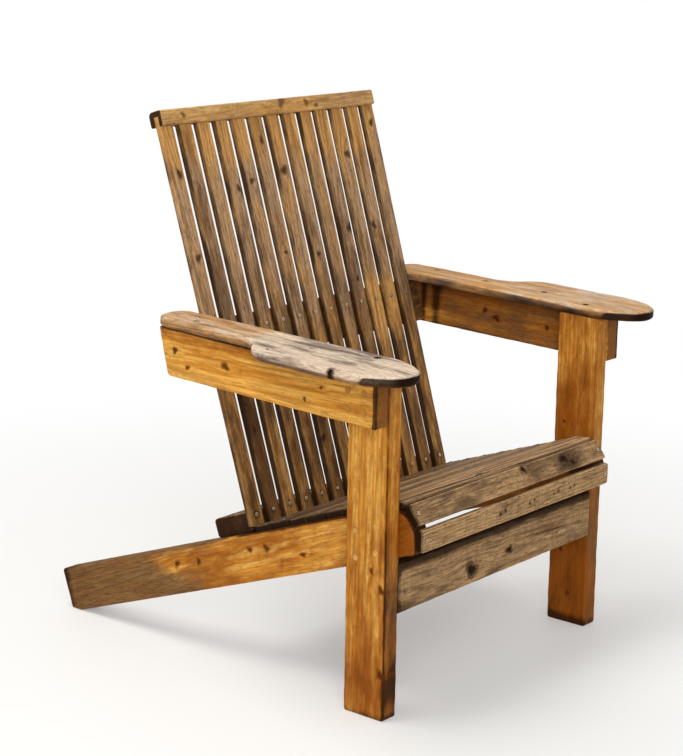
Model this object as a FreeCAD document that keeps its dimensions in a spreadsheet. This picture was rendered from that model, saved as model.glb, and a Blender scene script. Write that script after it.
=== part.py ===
import FreeCAD, Part
import math
import os
import Sketcher

# A slatted wooden deck chair, built as separate boards, slats and fastenings.
# Millimetres, Z up. The sitter faces -Y with the right hand at -X, and the
# origin is on the floor under the middle of the chair.
# Angles are in degrees.

SIZES = [
    # planed lumber shared by the whole frame
    ("board_thick", 38, "thickness of every frame board"),
    ("board_wide", 89, "width of every frame board"),
    ("board_round", 4, "worn rounding of the frame boards' long edges"),
    # front legs and arm boards
    ("frame_wide", 676, "across the outer faces of the legs"),
    ("leg_tall", 622, "front edge of a leg"),
    ("arm_rise", 1.9, "slope of the arms, up to the rear"),
    ("arm_past", -4, "arm board's end past the upper rail's rear edge"),
    ("arm_tail", 15, "lean of an arm board's rear end"),
    # armrests, seen from above; outward sizes start at the leg's outer face
    ("rest_thick", 19, "thickness of an armrest"),
    ("rest_inner", 41, "inner edge, inside the leg's outer face, at the nose"),
    ("rest_drift", 6, "how far the inner edge moves outward by the tail"),
    ("rest_outer", 100, "outer edge of the wide front part"),
    ("rest_waist", 42, "outer edge of the narrow rear part"),
    ("rest_reach", 73, "nose ahead of the leg's front face"),
    ("rest_past", 6, "tail past the arm board's end"),
    ("nose_tip", 50, "radius of the nose's tip"),
    ("nose_flank", 130, "radius of the nose's two flanks"),
    ("step_front", 195, "where the outer edge starts to step in"),
    ("step_rear", 300, "where the step ends"),
    ("tail_round", 24, "corner radius of the tail"),
    ("rest_bevel", 4, "worn bevel of an armrest's top edge"),
    ("rest_under", 2, "bevel of an armrest's lower edge"),
    # seat stringers, measured in the side view
    ("seat_tall", 386, "stringer top at the legs' front face"),
    ("stringer_long", 911, "along the top, from the legs' front face"),
    ("heel_cut", 7.8, "depth of the level cut under the heel"),
    ("prow_reach", 32, "stringer nose ahead of the legs' front face"),
    ("prow_round", 48, "radius of the stringer's upper nose"),
    ("prow_under", 8, "radius of the stringer's lower nose"),
    ("heel_round", 6, "radius of the stringer's rear upper corner"),
    ("stringer_bevel", 3, "worn bevel along the stringers' edges"),
    # seat slats
    ("seat_slats", 7, "flat slats behind the three on the nose"),
    ("seat_slat_wide", 40, "width of a seat slat"),
    ("seat_slat_thick", 11, "thickness of a seat slat"),
    ("seat_slat_clear", 6, "from a seat slat's end to the leg"),
    ("seat_start", 18.4, "first flat slat behind the end of the nose's curve"),
    ("seat_clear", 2, "from the last slat to the back"),
    ("lip_turn", -90, "lean of the lowest slat, round the nose"),
    ("lip_slide", -2, "its slide along its own width"),
    ("bend_turn", -51.4, "lean of the second slat"),
    ("bend_slide", 9, "its slide along its own width"),
    ("brow_turn", 6.5, "lean of the third slat"),
    ("brow_slide", -3, "its slide along its own width"),
    ("slat_bevel", 2, "worn bevel of the slats' long edges"),
    # back
    ("back_set", 375, "low rail's front edge, along the stringers"),
    ("back_lean", 17.3, "lean of the back from upright"),
    ("back_slats", 13, "slats in the back"),
    ("back_slat_wide", 33, "width of a back slat"),
    ("back_slat_thick", 11, "thickness of a back slat"),
    ("back_slat_long", 777, "length of a back slat"),
    ("back_slat_lift", 3, "gap under the slats' feet"),
    ("back_clear", 5.5, "from the outer slats' feet to the legs' inner faces"),
    ("back_fan", 22.5, "how much wider the back is at its head"),
    ("low_rail_clear", 12, "from the low rail's end to the stringer's outer face"),
    # cap over the slats' heads
    ("cap_end", 0.25, "cap past the outer slats' heads"),
    ("cap_front", 8, "lip in front of the groove"),
    ("cap_rear", 12, "lip behind the groove"),
    ("cap_over", 9.5, "wood above the groove"),
    ("cap_groove", 20, "depth of the groove"),
    ("cap_clear", 0.4, "slack of the slats in the groove"),
    ("cap_round", 9, "rounding of the cap's upper rear edge"),
    ("cap_ease", 3, "rounding of the cap's other long edges"),
    # fastenings
    ("screw_sides", 12, "sides of a screw head; repeated pieces are kept plain"),
    ("screw_head", 4.4, "radius of a screw head"),
    ("screw_taper", 36, "slope of a screw head's rim"),
    ("screw_rise", 1.8, "height of a screw head"),
    ("shank_sides", 6, "sides of a screw's shank"),
    ("screw_shank", 2, "radius of a screw's shank"),
    ("screw_long", 35, "length of a screw under the head"),
    ("screw_low_drop", 7, "lower row of back screws below the low rail's top"),
    ("screw_mid_drop", 26, "upper row of back screws below the upper rail's top"),
    ("screw_sink", 5, "depth of the armrest screws in their holes"),
    ("screw_sink_round", 5, "radius of those holes"),
    ("rest_screw_leg", 42, "armrest screw into the leg, behind its front face"),
    ("rest_screw_mid", 160, "armrest screw into the arm board"),
    ("rest_screw_tail", 75, "last armrest screw ahead of the arm board's end"),
    ("dowel_sides", 12, "sides of a dowel"),
    ("dowel_round", 6, "radius of a dowel"),
    ("dowel_bite", 15, "depth of a dowel in the second board"),
    ("leg_dowel_front", 22, "front dowels behind the legs' front face"),
    ("leg_dowel_rear", 67, "rear dowels behind the legs' front face"),
    ("leg_dowel_high", 26, "upper dowels below the stringer's top"),
    ("leg_dowel_low", 74, "lower dowels below the stringer's top"),
    ("arm_dowel_front", 23, "front dowels behind the legs' front face"),
    ("arm_dowel_rear", 58, "rear dowels behind the legs' front face"),
    ("arm_dowel_high", 30, "upper dowels below the arm board's top"),
    ("arm_dowel_low", 63, "lower dowels below the arm board's top"),
    ("apron_dowel_high", 25, "upper hidden dowel below the apron's top"),
    ("apron_dowel_low", 64, "lower hidden dowel below the apron's top"),
    ("low_dowel_front", 40, "front dowels behind the low rail's front edge"),
    ("low_dowel_rear", 70, "rear dowels behind the low rail's front edge"),
]

# places that follow from the sizes; each formula may use the ones above it
WORKED = [
    # fall of the stringers, from the seat's front down to the cut heel
    ("seat_slope", "asin((Sizes.seat_tall + Sizes.heel_cut) / sqrt(Sizes.stringer_long^2 + Sizes.board_wide^2))"
                   " - atan(Sizes.board_wide / Sizes.stringer_long)"),
    ("front_y", "-Sizes.rest_reach * cos(Sizes.arm_rise)"
                " - (Sizes.rest_thick - Sizes.rest_bevel) * sin(Sizes.arm_rise)"),
    ("rear_y", "Sizes.stringer_long * cos(seat_slope)"
               " - Sizes.heel_round * (cos(seat_slope) + sin(seat_slope) - 1)"),
    # the middle of the chair, moved to the origin
    ("middle_y", "(front_y + rear_y) / 2"),
    ("leg_inner", "Sizes.frame_wide / 2 - Sizes.board_thick"),
    ("arm_outer", "Sizes.frame_wide / 2 + Sizes.board_thick"),
    ("stringer_mid", "leg_inner - Sizes.board_thick / 2"),
    # centre of the stringer's upper nose
    ("prow_y", "Sizes.prow_round - Sizes.prow_reach"),
    ("prow_z", "Sizes.seat_tall - prow_y * tan(seat_slope) - Sizes.prow_round / cos(seat_slope)"),
    # the stringers rest on the rounded rear edge of the apron
    ("apron_top", "Sizes.seat_tall - Sizes.board_thick * tan(seat_slope) - Sizes.board_wide / cos(seat_slope)"
                  " + Sizes.board_round * (1 + tan(seat_slope) - 1 / cos(seat_slope))"),
    # foot of the back: where the slats' rear faces meet the stringers' tops
    ("back_y", "Sizes.back_set * cos(seat_slope)"),
    ("back_z", "Sizes.seat_tall - Sizes.back_set * sin(seat_slope)"),
    ("back_skew", "seat_slope - Sizes.back_lean"),
    # middles of the first and last flat seat slats, along the stringer
    ("seat_first", "prow_y / cos(seat_slope) + Sizes.prow_round * tan(seat_slope)"
                   " + Sizes.seat_start + Sizes.seat_slat_wide / 2"),
    ("seat_last", "Sizes.back_set - Sizes.back_slat_thick / cos(back_skew)"
                  " - Sizes.seat_slat_thick * tan(back_skew) - Sizes.seat_clear - Sizes.seat_slat_wide / 2"),
    ("seat_pitch", "(seat_last - seat_first) / (Sizes.seat_slats - 1)"),
    ("seat_slat_long", "2 * (leg_inner - Sizes.seat_slat_clear)"),
    # the upper rail's top meets the undersides of the armrests
    ("rail_top", "(Sizes.leg_tall + back_y * tan(Sizes.arm_rise) - back_z)"
                 " / (cos(Sizes.back_lean) - sin(Sizes.back_lean) * tan(Sizes.arm_rise))"),
    ("arm_long", "(back_y + rail_top * sin(Sizes.back_lean) + Sizes.board_thick * cos(Sizes.back_lean)"
                 " + Sizes.arm_past) / cos(Sizes.arm_rise)"),
    ("rest_tail", "arm_long + Sizes.rest_past"),
    ("back_foot_wide", "2 * (leg_inner - Sizes.back_clear)"),
    ("back_head_wide", "back_foot_wide + Sizes.back_fan"),
    ("slat_top", "Sizes.back_slat_lift + Sizes.back_slat_long"),
    ("low_rail_long", "2 * (leg_inner - Sizes.low_rail_clear)"),
    ("cap_long", "back_head_wide + 2 * Sizes.cap_end"),
    # the two rows of back screws, measured up the back
    ("low_row", "Sizes.board_thick - Sizes.screw_low_drop"),
    ("mid_row", "rail_top - Sizes.screw_mid_drop"),
]

doc = FreeCAD.newDocument("deck_chair")

sizes = doc.addObject("Spreadsheet::Sheet", "Sizes")
for row, (alias, value, note) in enumerate(SIZES, start=1):
    sizes.set(f"A{row}", note)
    sizes.set(f"B{row}", str(value))
    sizes.setAlias(f"B{row}", alias)
doc.recompute()

worked = doc.addObject("App::VarSet", "Worked")
for name, formula in WORKED:
    worked.addProperty("App::PropertyFloat", name)
    worked.setExpression(name, formula)
doc.recompute()

nodes = []


def spot(x, y, z, turn="0", axis="1; 0; 0"):
    """A placement formula; y is counted from the legs' front face."""
    return (f"placement(vector({x}; {y} - Worked.middle_y; {z}); "
            f"rotation(vector({axis}); {turn}))")


def make_body(label, place=None):
    body = doc.addObject("PartDesign::Body", label)
    body.Label = label
    if place:
        body.setExpression("Placement", place)
    return body


def make_sketch(body, role):
    plane = next(item for item in body.Origin.OriginFeatures if item.Role == role)
    sketch = body.newObject("Sketcher::SketchObject", body.Name + "_sketch")
    sketch.AttachmentSupport = [(plane, "")]
    sketch.MapMode = "FlatFace"
    return sketch


def bind(sketch, constraint, formula):
    index = sketch.addConstraint(constraint)
    sketch.setExpression(f"Constraints[{index}]", str(formula))


def pin(sketch, piece, point, across=None, up=None):
    """Ties one point of the sketch, from where it was drawn, to distances from the origin."""
    drawn = sketch.getPoint(piece, point)
    if across is not None:
        bind(sketch, Sketcher.Constraint("DistanceX", -1, 1, piece, point, drawn.x), across)
    if up is not None:
        bind(sketch, Sketcher.Constraint("DistanceY", -1, 1, piece, point, drawn.y), up)


def polygon(body, role, corners):
    """A closed outline; it starts as a regular one and its corners are then pinned."""
    sketch = make_sketch(body, role)
    count = len(corners)
    rough = [FreeCAD.Vector(100 * math.cos(turn), 100 * math.sin(turn), 0)
             for turn in (2 * math.pi * step / count for step in range(count))]
    for step in range(count):
        sketch.addGeometry(Part.LineSegment(rough[step], rough[(step + 1) % count]))
    for step in range(count):
        sketch.addConstraint(Sketcher.Constraint("Coincident", step, 2, (step + 1) % count, 1))
    for step, (across, up) in enumerate(corners):
        pin(sketch, step, 1, across, up)
    return sketch


def pad(body, sketch, length, both_ways=False):
    feature = body.newObject("PartDesign::Pad", body.Name + "_pad")
    feature.Profile = sketch
    feature.SideType = "Symmetric" if both_ways else "One side"
    feature.setExpression("Length", length)
    doc.recompute()
    return feature


def soften(body, kind, edges, size):
    """Rounds or bevels the named edges of the body's last feature."""
    feature = body.newObject("PartDesign::" + kind, body.Name + "_" + kind.lower())
    feature.Base = (body.Group[-2], edges)
    feature.setExpression("Radius" if kind == "Fillet" else "Size", size)
    doc.recompute()
    return feature


def edges_where(feature, test):
    return [f"Edge{number}" for number, edge in enumerate(feature.Shape.Edges, start=1) if test(edge)]


def heading(edge):
    """The direction of a straight edge, with positive parts."""
    way = edge.tangentAt(edge.FirstParameter)
    return abs(way.x), abs(way.y), abs(way.z)


def edges_across(feature):
    return edges_where(feature, lambda edge: heading(edge)[0] > 0.999)


def box_corners(y0, y1, z0, z1):
    return [(y0, z0), (y1, z0), (y1, z1), (y0, z1)]


def bored(blank, label, tools):
    """The blank with the holes its fastenings fill."""
    piece = blank
    for number, tool in enumerate(tools, start=1):
        cut = doc.addObject("Part::Cut", f"{label}_bore_{number}")
        cut.Base = piece
        cut.Tool = tool
        piece = cut
    piece.Label = label
    return piece


def mirrored(piece, label):
    copy = doc.addObject("Part::Mirroring", label)
    copy.Source = piece
    copy.Normal = (1, 0, 0)
    copy.Label = label
    return copy


def grouped(label, pieces):
    group = doc.addObject("Part::Compound", label)
    group.Links = pieces
    group.Label = label
    return group


def ring(body, sides, radius):
    """A regular outline in the local XZ plane."""
    step = 360 / sides
    return polygon(body, "XZ_Plane", [
        (f"{radius} * cos({step * number})", f"{radius} * sin({step * number})") for number in range(int(sides))])


# Fastenings. A screw lies along +Y with the underside of its head at y = 0.
screw = make_body("screw_pattern")
head = pad(screw, ring(screw, sizes.screw_sides, "Sizes.screw_head"), "Sizes.screw_rise")
head.setExpression("TaperAngle", "-Sizes.screw_taper")
shank = pad(screw, ring(screw, sizes.shank_sides, "Sizes.screw_shank"), "Sizes.screw_long")
shank.Reversed = True
doc.recompute()


def place_screw(name, place):
    link = doc.addObject("App::Link", name)
    link.LinkedObject = screw
    link.setExpression("Placement", place)
    return link


def make_dowel(name, length, place):
    dowel = doc.addObject("Part::Prism", name)
    dowel.Polygon = int(sizes.dowel_sides)
    dowel.setExpression("Circumradius", "Sizes.dowel_round")
    dowel.setExpression("Height", length)
    dowel.setExpression("Placement", place)
    return dowel


def place_dowels(name, outer, y, z, length="Sizes.board_thick + Sizes.dowel_bite"):
    """One dowel on each side, driven inward from the outer end."""
    return [make_dowel(f"{name}_{side}", length, spot(start, y, z, "90", "0; 1; 0"))
            for side, start in (("left", f"{outer} - ({length})"), ("right", f"-({outer})"))]


back_count = int(sizes.back_slats)
back_middle = (back_count - 1) / 2


def slat_across(step, wide):
    """Sideways place of one back slat, where the whole row is this wide."""
    return f"{step - back_middle} * (Worked.{wide} - Sizes.back_slat_wide) / {back_count - 1}"


def back_screw_row(label, row):
    """One screw through every back slat, at a height measured up the back."""
    screws = []
    for step in range(back_count):
        foot = slat_across(step, "back_foot_wide")
        head = slat_across(step, "back_head_wide")
        share = f"(Worked.{row} - Sizes.back_slat_lift) / Sizes.back_slat_long"
        x = f"{foot} + ({head} - {foot}) * {share}"
        y = (f"Worked.back_y + Worked.{row} * sin(Sizes.back_lean)"
             f" - Sizes.back_slat_thick * cos(Sizes.back_lean)")
        z = (f"Worked.back_z + Worked.{row} * cos(Sizes.back_lean)"
             f" + Sizes.back_slat_thick * sin(Sizes.back_lean)")
        screws.append(place_screw(f"{label}_{step + 1}", spot(x, y, z, "-Sizes.back_lean")))
    return grouped(label, screws)


# Seat slats: three round the stringers' noses, then the flat ones to the rear.
# Each entry is the middle of the slat's underside (y, z) and its lean.
seat_spots = []
for name in ("lip", "bend", "brow"):
    turn, slide = f"Sizes.{name}_turn", f"Sizes.{name}_slide"
    seat_spots.append((
        f"Worked.prow_y + Sizes.prow_round * sin({turn}) + {slide} * cos({turn})",
        f"Worked.prow_z + Sizes.prow_round * cos({turn}) - {slide} * sin({turn})",
        turn))
for step in reversed(range(int(sizes.seat_slats))):
    along = f"(Worked.seat_last - {step} * Worked.seat_pitch)"
    seat_spots.append((
        f"{along} * cos(Worked.seat_slope)",
        f"Sizes.seat_tall - {along} * sin(Worked.seat_slope)",
        "Worked.seat_slope"))

mid_screws = back_screw_row("mid_rail_screws", "mid_row")
low_screws = back_screw_row("low_rail_screws", "low_row")

seat_screw_list = []
for number, (y, z, turn) in enumerate(seat_spots, start=1):
    for side, sign in (("left", ""), ("right", "-")):
        top_y = f"{y} + Sizes.seat_slat_thick * sin({turn})"
        top_z = f"{z} + Sizes.seat_slat_thick * cos({turn})"
        place = spot(f"{sign}Worked.stringer_mid", top_y, top_z, f"-90 - {turn}")
        seat_screw_list.append(place_screw(f"seat_screw_{number}_{side}", place))
seat_screws = grouped("seat_screws", seat_screw_list)

leg_dowel_list = []
arm_dowel_list = []
for column in ("front", "rear"):
    for level in ("high", "low"):
        y = f"Sizes.leg_dowel_{column}"
        z = f"Sizes.seat_tall - {y} * tan(Worked.seat_slope) - Sizes.leg_dowel_{level}"
        leg_dowel_list += place_dowels(f"leg_dowel_{column}_{level}", "Sizes.frame_wide / 2", y, z)
        y = f"Sizes.arm_dowel_{column}"
        z = f"Sizes.leg_tall + {y} * tan(Sizes.arm_rise) - Sizes.arm_dowel_{level}"
        arm_dowel_list += place_dowels(f"arm_dowel_{column}_{level}", "Worked.arm_outer", y, z)
leg_dowels = grouped("leg_dowels", leg_dowel_list)
arm_dowels = grouped("arm_front_dowels", arm_dowel_list)

# one more through each arm board into the middle of the upper rail's end
rail_mid = "(Worked.rail_top - Sizes.board_wide / 2)"
arm_rear_dowels = grouped("arm_rear_dowels", place_dowels(
    "rail_dowel", "Worked.arm_outer",
    f"Worked.back_y + {rail_mid} * sin(Sizes.back_lean) + Sizes.board_thick / 2 * cos(Sizes.back_lean)",
    f"Worked.back_z + {rail_mid} * cos(Sizes.back_lean) - Sizes.board_thick / 2 * sin(Sizes.back_lean)"))

# hidden dowels between the apron's ends and the legs
apron_dowel_list = []
for level in ("high", "low"):
    apron_dowel_list += place_dowels(
        f"apron_dowel_{level}", "Worked.leg_inner + Sizes.dowel_bite", "Sizes.board_thick / 2",
        f"Worked.apron_top - Sizes.apron_dowel_{level}", "2 * Sizes.dowel_bite")
apron_dowels = grouped("apron_dowels", apron_dowel_list)

# dowels down through the lower rail into the stringers
low_dowel_list = []
for column in ("front", "rear"):
    along = f"(Sizes.back_set + Sizes.low_dowel_{column})"
    start_y = f"{along} * cos(Worked.seat_slope) - Sizes.dowel_bite * sin(Worked.seat_slope)"
    start_z = f"Sizes.seat_tall - {along} * sin(Worked.seat_slope) - Sizes.dowel_bite * cos(Worked.seat_slope)"
    for side, sign in (("left", ""), ("right", "-")):
        x = f"{sign}(Worked.stringer_mid + Worked.low_rail_long / 2 - Worked.leg_inner + Sizes.dowel_round)"
        low_dowel_list.append(make_dowel(
            f"low_dowel_{column}_{side}", "Sizes.board_thick + Sizes.dowel_bite",
            spot(x, start_y, start_z, "-Worked.seat_slope")))
low_dowels = grouped("low_rail_dowels", low_dowel_list)

# sunk screws down through the armrests, one into each leg and two into each arm board
rest_screw_list = []
rest_sink_list = []
for name, x, along in (
        ("leg", "Worked.stringer_mid + Sizes.board_thick", "Sizes.rest_screw_leg"),
        ("mid", "Sizes.frame_wide / 2 + Sizes.board_thick / 3", "Sizes.rest_screw_mid"),
        ("tail", "Sizes.frame_wide / 2 + Sizes.board_thick / 2", "(Worked.arm_long - Sizes.rest_screw_tail)")):
    depth = "(Sizes.rest_thick - Sizes.screw_sink)"
    y = f"{along} * cos(Sizes.arm_rise) - {depth} * sin(Sizes.arm_rise)"
    z = f"Sizes.leg_tall + {along} * sin(Sizes.arm_rise) + {depth} * cos(Sizes.arm_rise)"
    for side, sign in (("left", ""), ("right", "-")):
        rest_screw_list.append(place_screw(
            f"rest_screw_{name}_{side}", spot(f"{sign}({x})", y, z, "Sizes.arm_rise - 90")))
        sink = doc.addObject("Part::Prism", f"rest_sink_{name}_{side}")
        sink.Polygon = int(sizes.screw_sides)
        sink.setExpression("Circumradius", "Sizes.screw_sink_round")
        sink.setExpression("Height", "2 * Sizes.screw_sink")
        sink.setExpression("Placement", spot(f"{sign}({x})", y, z, "Sizes.arm_rise"))
        rest_sink_list.append(sink)
rest_screws = grouped("armrest_screws", rest_screw_list)
rest_sinks = grouped("rest_sinks", rest_sink_list)

# Front legs: upright boards with tops cut to the slope of the arms.
leg = make_body("leg_blank", spot("Worked.leg_inner", "0", "0"))
leg_pad = pad(leg, polygon(leg, "YZ_Plane", [
    ("0", "0"),
    ("Sizes.board_wide", "0"),
    ("Sizes.board_wide", "Sizes.leg_tall + Sizes.board_wide * tan(Sizes.arm_rise)"),
    ("0", "Sizes.leg_tall"),
]), "Sizes.board_thick")
soften(leg, "Fillet", edges_where(leg_pad, lambda edge: heading(edge)[2] > 0.999), "Sizes.board_round")
leg_left = bored(leg, "leg_left", [leg_dowels, arm_dowels, apron_dowels, rest_screws])
nodes += [leg_left, mirrored(leg_left, "leg_right")]

# Arm boards: on edge outside the legs, rising to the rear.
arm = make_body("arm_blank", spot("Sizes.frame_wide / 2", "0", "Sizes.leg_tall", "Sizes.arm_rise"))
arm_pad = pad(arm, polygon(arm, "YZ_Plane", [
    ("0", "0"),
    ("-Sizes.board_wide * tan(Sizes.arm_rise)", "-Sizes.board_wide"),
    ("Worked.arm_long - Sizes.board_wide * tan(Sizes.arm_tail)", "-Sizes.board_wide"),
    ("Worked.arm_long", "0"),
]), "Sizes.board_thick")
soften(arm, "Fillet", edges_where(arm_pad, lambda edge: heading(edge)[1] > 0.999), "Sizes.board_round")
arm_left = bored(arm, "arm_board_left", [arm_dowels, arm_rear_dowels, rest_screws])
nodes += [arm_left, mirrored(arm_left, "arm_board_right")]

# Armrests: one outline of lines and arcs, each tangent to the next, drawn
# once round from the inner edge by the nose, the outer edge, the step in
# and the rounded tail. It starts near its solution and the solver ties it
# to the sizes.
rest = make_body("rest_blank", spot("0", "0", "Sizes.leg_tall", "Sizes.arm_rise"))
rest_sketch = make_sketch(rest, "XY_Plane")
face = sizes.frame_wide / 2
inner, outer, waist = face - sizes.rest_inner, face + sizes.rest_outer, face + sizes.rest_waist
inner_tail = inner + sizes.rest_drift
tip_x, tip_y = (inner + outer) / 2, sizes.nose_tip - sizes.rest_reach
flank_gap = sizes.nose_flank - sizes.nose_tip
lean = math.acos((sizes.nose_flank - (outer - inner) / 2) / flank_gap)
flank_y = tip_y + flank_gap * math.sin(lean)
step_run, step_in = sizes.step_rear - sizes.step_front, outer - waist
step_round = (step_run ** 2 + step_in ** 2) / (4 * step_in)
step_turn = math.asin(step_run / 2 / step_round)
tail, corner = worked.rest_tail, sizes.tail_round


def line(x0, y0, x1, y1):
    return Part.LineSegment(FreeCAD.Vector(x0, y0, 0), FreeCAD.Vector(x1, y1, 0))


def arc(x, y, radius, start, end):
    circle = Part.Circle(FreeCAD.Vector(x, y, 0), FreeCAD.Vector(0, 0, 1), radius)
    return Part.ArcOfCircle(circle, start, end)


half_turn = math.pi
rest_sketch.addGeometry([
    line(inner_tail, tail - corner, inner, flank_y),
    arc(inner + sizes.nose_flank, flank_y, sizes.nose_flank, half_turn, half_turn + lean),
    arc(tip_x, tip_y, sizes.nose_tip, half_turn + lean, 2 * half_turn - lean),
    arc(outer - sizes.nose_flank, flank_y, sizes.nose_flank, 2 * half_turn - lean, 2 * half_turn),
    line(outer, flank_y, outer, sizes.step_front),
    arc(outer - step_round, sizes.step_front, step_round, 0, step_turn),
    arc(waist + step_round, sizes.step_rear, step_round, half_turn, half_turn + step_turn),
    line(waist, sizes.step_rear, waist, tail - corner),
    arc(waist - corner, tail - corner, corner, 0, half_turn / 2),
    line(waist - corner, tail, inner_tail + corner, tail),
    arc(inner_tail + corner, tail - corner, corner, half_turn / 2, half_turn),
])
inner_edge, inner_flank, tip, outer_flank, outer_edge, step_out, step_back, waist_edge = range(8)
outer_corner, tail_edge, inner_corner = range(8, 11)
for piece in range(11):
    following = (piece + 1) % 11
    leave = 1 if piece == step_back else 2     # the hollow arc is drawn backwards
    enter = 2 if following == step_back else 1
    rest_sketch.addConstraint(Sketcher.Constraint("Tangent", piece, leave, following, enter))
rest_sketch.addConstraint(Sketcher.Constraint("Vertical", outer_edge))
rest_sketch.addConstraint(Sketcher.Constraint("Vertical", waist_edge))
rest_sketch.addConstraint(Sketcher.Constraint("Horizontal", tail_edge))
rest_sketch.addConstraint(Sketcher.Constraint("Equal", step_out, step_back))
rest_sketch.addConstraint(Sketcher.Constraint("Equal", inner_flank, outer_flank))
rest_sketch.addConstraint(Sketcher.Constraint("Equal", inner_corner, outer_corner))
for piece, radius in ((inner_flank, "nose_flank"), (tip, "nose_tip"), (inner_corner, "tail_round")):
    drawn = rest_sketch.Geometry[piece].Radius
    bind(rest_sketch, Sketcher.Constraint("Radius", piece, drawn), "Sizes." + radius)
pin(rest_sketch, inner_edge, 2, across="Sizes.frame_wide / 2 - Sizes.rest_inner")
pin(rest_sketch, inner_edge, 1, across="Sizes.frame_wide / 2 - Sizes.rest_inner + Sizes.rest_drift")
pin(rest_sketch, tip, 3, "Sizes.frame_wide / 2 + (Sizes.rest_outer - Sizes.rest_inner) / 2",
    "Sizes.nose_tip - Sizes.rest_reach")
pin(rest_sketch, outer_edge, 2, "Sizes.frame_wide / 2 + Sizes.rest_outer", "Sizes.step_front")
pin(rest_sketch, waist_edge, 1, "Sizes.frame_wide / 2 + Sizes.rest_waist", "Sizes.step_rear")
pin(rest_sketch, tail_edge, 1, up="Worked.rest_tail")
rest_pad = pad(rest, rest_sketch, "Sizes.rest_thick")


def rim(feature, height):
    """The edges of the face that lies at this height."""
    return edges_where(feature, lambda edge: all(abs(end.Z - height) < 0.01 for end in edge.Vertexes))


rest_top = soften(rest, "Chamfer", rim(rest_pad, sizes.rest_thick), "Sizes.rest_bevel")
soften(rest, "Chamfer", rim(rest_top, 0), "Sizes.rest_under")
rest_left = bored(rest, "armrest_left", [rest_screws, rest_sinks])
nodes += [rest_left, mirrored(rest_left, "armrest_right")]

# Stringers: one straight board from the prow between the legs to the heel on
# the floor, which is cut flat there.
stringer = make_body("stringer_blank", spot("Worked.stringer_mid", "0", "0"))
heel_z = "(Sizes.seat_tall - Sizes.stringer_long * sin(Worked.seat_slope))"
under_z = "Sizes.seat_tall - Sizes.board_wide / cos(Worked.seat_slope)"
stringer_pad = pad(stringer, polygon(stringer, "YZ_Plane", [
    ("-Sizes.prow_reach", f"{under_z} + Sizes.prow_reach * tan(Worked.seat_slope)"),
    (f"({under_z}) / tan(Worked.seat_slope)", "0"),
    (f"Sizes.stringer_long * cos(Worked.seat_slope) - {heel_z} * tan(Worked.seat_slope)", "0"),
    ("Sizes.stringer_long * cos(Worked.seat_slope)", heel_z),
    ("-Sizes.prow_reach", "Sizes.seat_tall + Sizes.prow_reach * tan(Worked.seat_slope)"),
]), "Sizes.board_thick", both_ways=True)


def corner_edge(feature, y, z):
    """The sideways edge nearest to this place in the side view."""
    def distance(name):
        end = feature.Shape.Edges[int(name[4:]) - 1].Vertexes[0].Point
        return math.hypot(end.y - y, end.z - z)
    return [min(edges_across(feature), key=distance)]


prow = -sizes.prow_reach
prow_round = soften(stringer, "Fillet", corner_edge(stringer_pad, prow, sizes.seat_tall), "Sizes.prow_round")
prow_under = soften(stringer, "Fillet", corner_edge(prow_round, prow, sizes.seat_tall - 2 * sizes.board_wide),
                    "Sizes.prow_under")
heel_round = soften(stringer, "Fillet", corner_edge(prow_under, sizes.stringer_long, sizes.board_wide),
                    "Sizes.heel_round")
half_board = sizes.board_thick / 2


def on_side(edge):
    """True for the outline of either broad face, leaving out the flat on the floor."""
    beside = all(abs(abs(end.X) - half_board) < 0.01 for end in edge.Vertexes)
    return beside and heading(edge)[0] < 0.5 and edge.CenterOfMass.z > 0.01


soften(stringer, "Chamfer", edges_where(heel_round, on_side), "Sizes.stringer_bevel")
stringer_left = bored(stringer, "stringer_left", [leg_dowels, seat_screws, low_dowels])
nodes += [stringer_left, mirrored(stringer_left, "stringer_right")]

# Front apron between the legs, under the stringers.
apron = make_body("apron_blank", spot("0", "0", "Worked.apron_top"))
apron_pad = pad(apron, polygon(apron, "YZ_Plane", box_corners(
    "0", "Sizes.board_thick", "-Sizes.board_wide", "0")), "2 * Worked.leg_inner", both_ways=True)
soften(apron, "Fillet", edges_across(apron_pad), "Sizes.board_round")
nodes.append(bored(apron, "front_apron", [apron_dowels]))

# Seat slats, one screw at each end.
for number, (y, z, turn) in enumerate(seat_spots, start=1):
    slat = make_body(f"seat_blank_{number:02d}", spot("0", y, z, f"-({turn})"))
    slat_pad = pad(slat, polygon(slat, "YZ_Plane", box_corners(
        "-Sizes.seat_slat_wide / 2", "Sizes.seat_slat_wide / 2", "0", "Sizes.seat_slat_thick")),
        "Worked.seat_slat_long", both_ways=True)
    soften(slat, "Chamfer", edges_across(slat_pad), "Sizes.slat_bevel")
    nodes.append(bored(slat, f"seat_slat_{number:02d}", [seat_screws]))

# Back slats, fanning a little towards the head. In this and the next pieces
# the local Z runs up the back and the local Y straight out behind it.
back_place = spot("0", "Worked.back_y", "Worked.back_z", "-Sizes.back_lean")
for step in range(back_count):
    foot = slat_across(step, "back_foot_wide")
    head = slat_across(step, "back_head_wide")
    half = "Sizes.back_slat_wide / 2"
    slat = make_body(f"back_blank_{step + 1:02d}", back_place)
    slat_pad = pad(slat, polygon(slat, "XZ_Plane", [
        (f"{foot} - {half}", "Sizes.back_slat_lift"),
        (f"{foot} + {half}", "Sizes.back_slat_lift"),
        (f"{head} + {half}", "Worked.slat_top"),
        (f"{head} - {half}", "Worked.slat_top"),
    ]), "Sizes.back_slat_thick")
    soften(slat, "Chamfer", edges_where(slat_pad, lambda edge: heading(edge)[2] > 0.99), "Sizes.slat_bevel")
    nodes.append(bored(slat, f"back_slat_{step + 1:02d}", [mid_screws, low_screws]))

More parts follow.
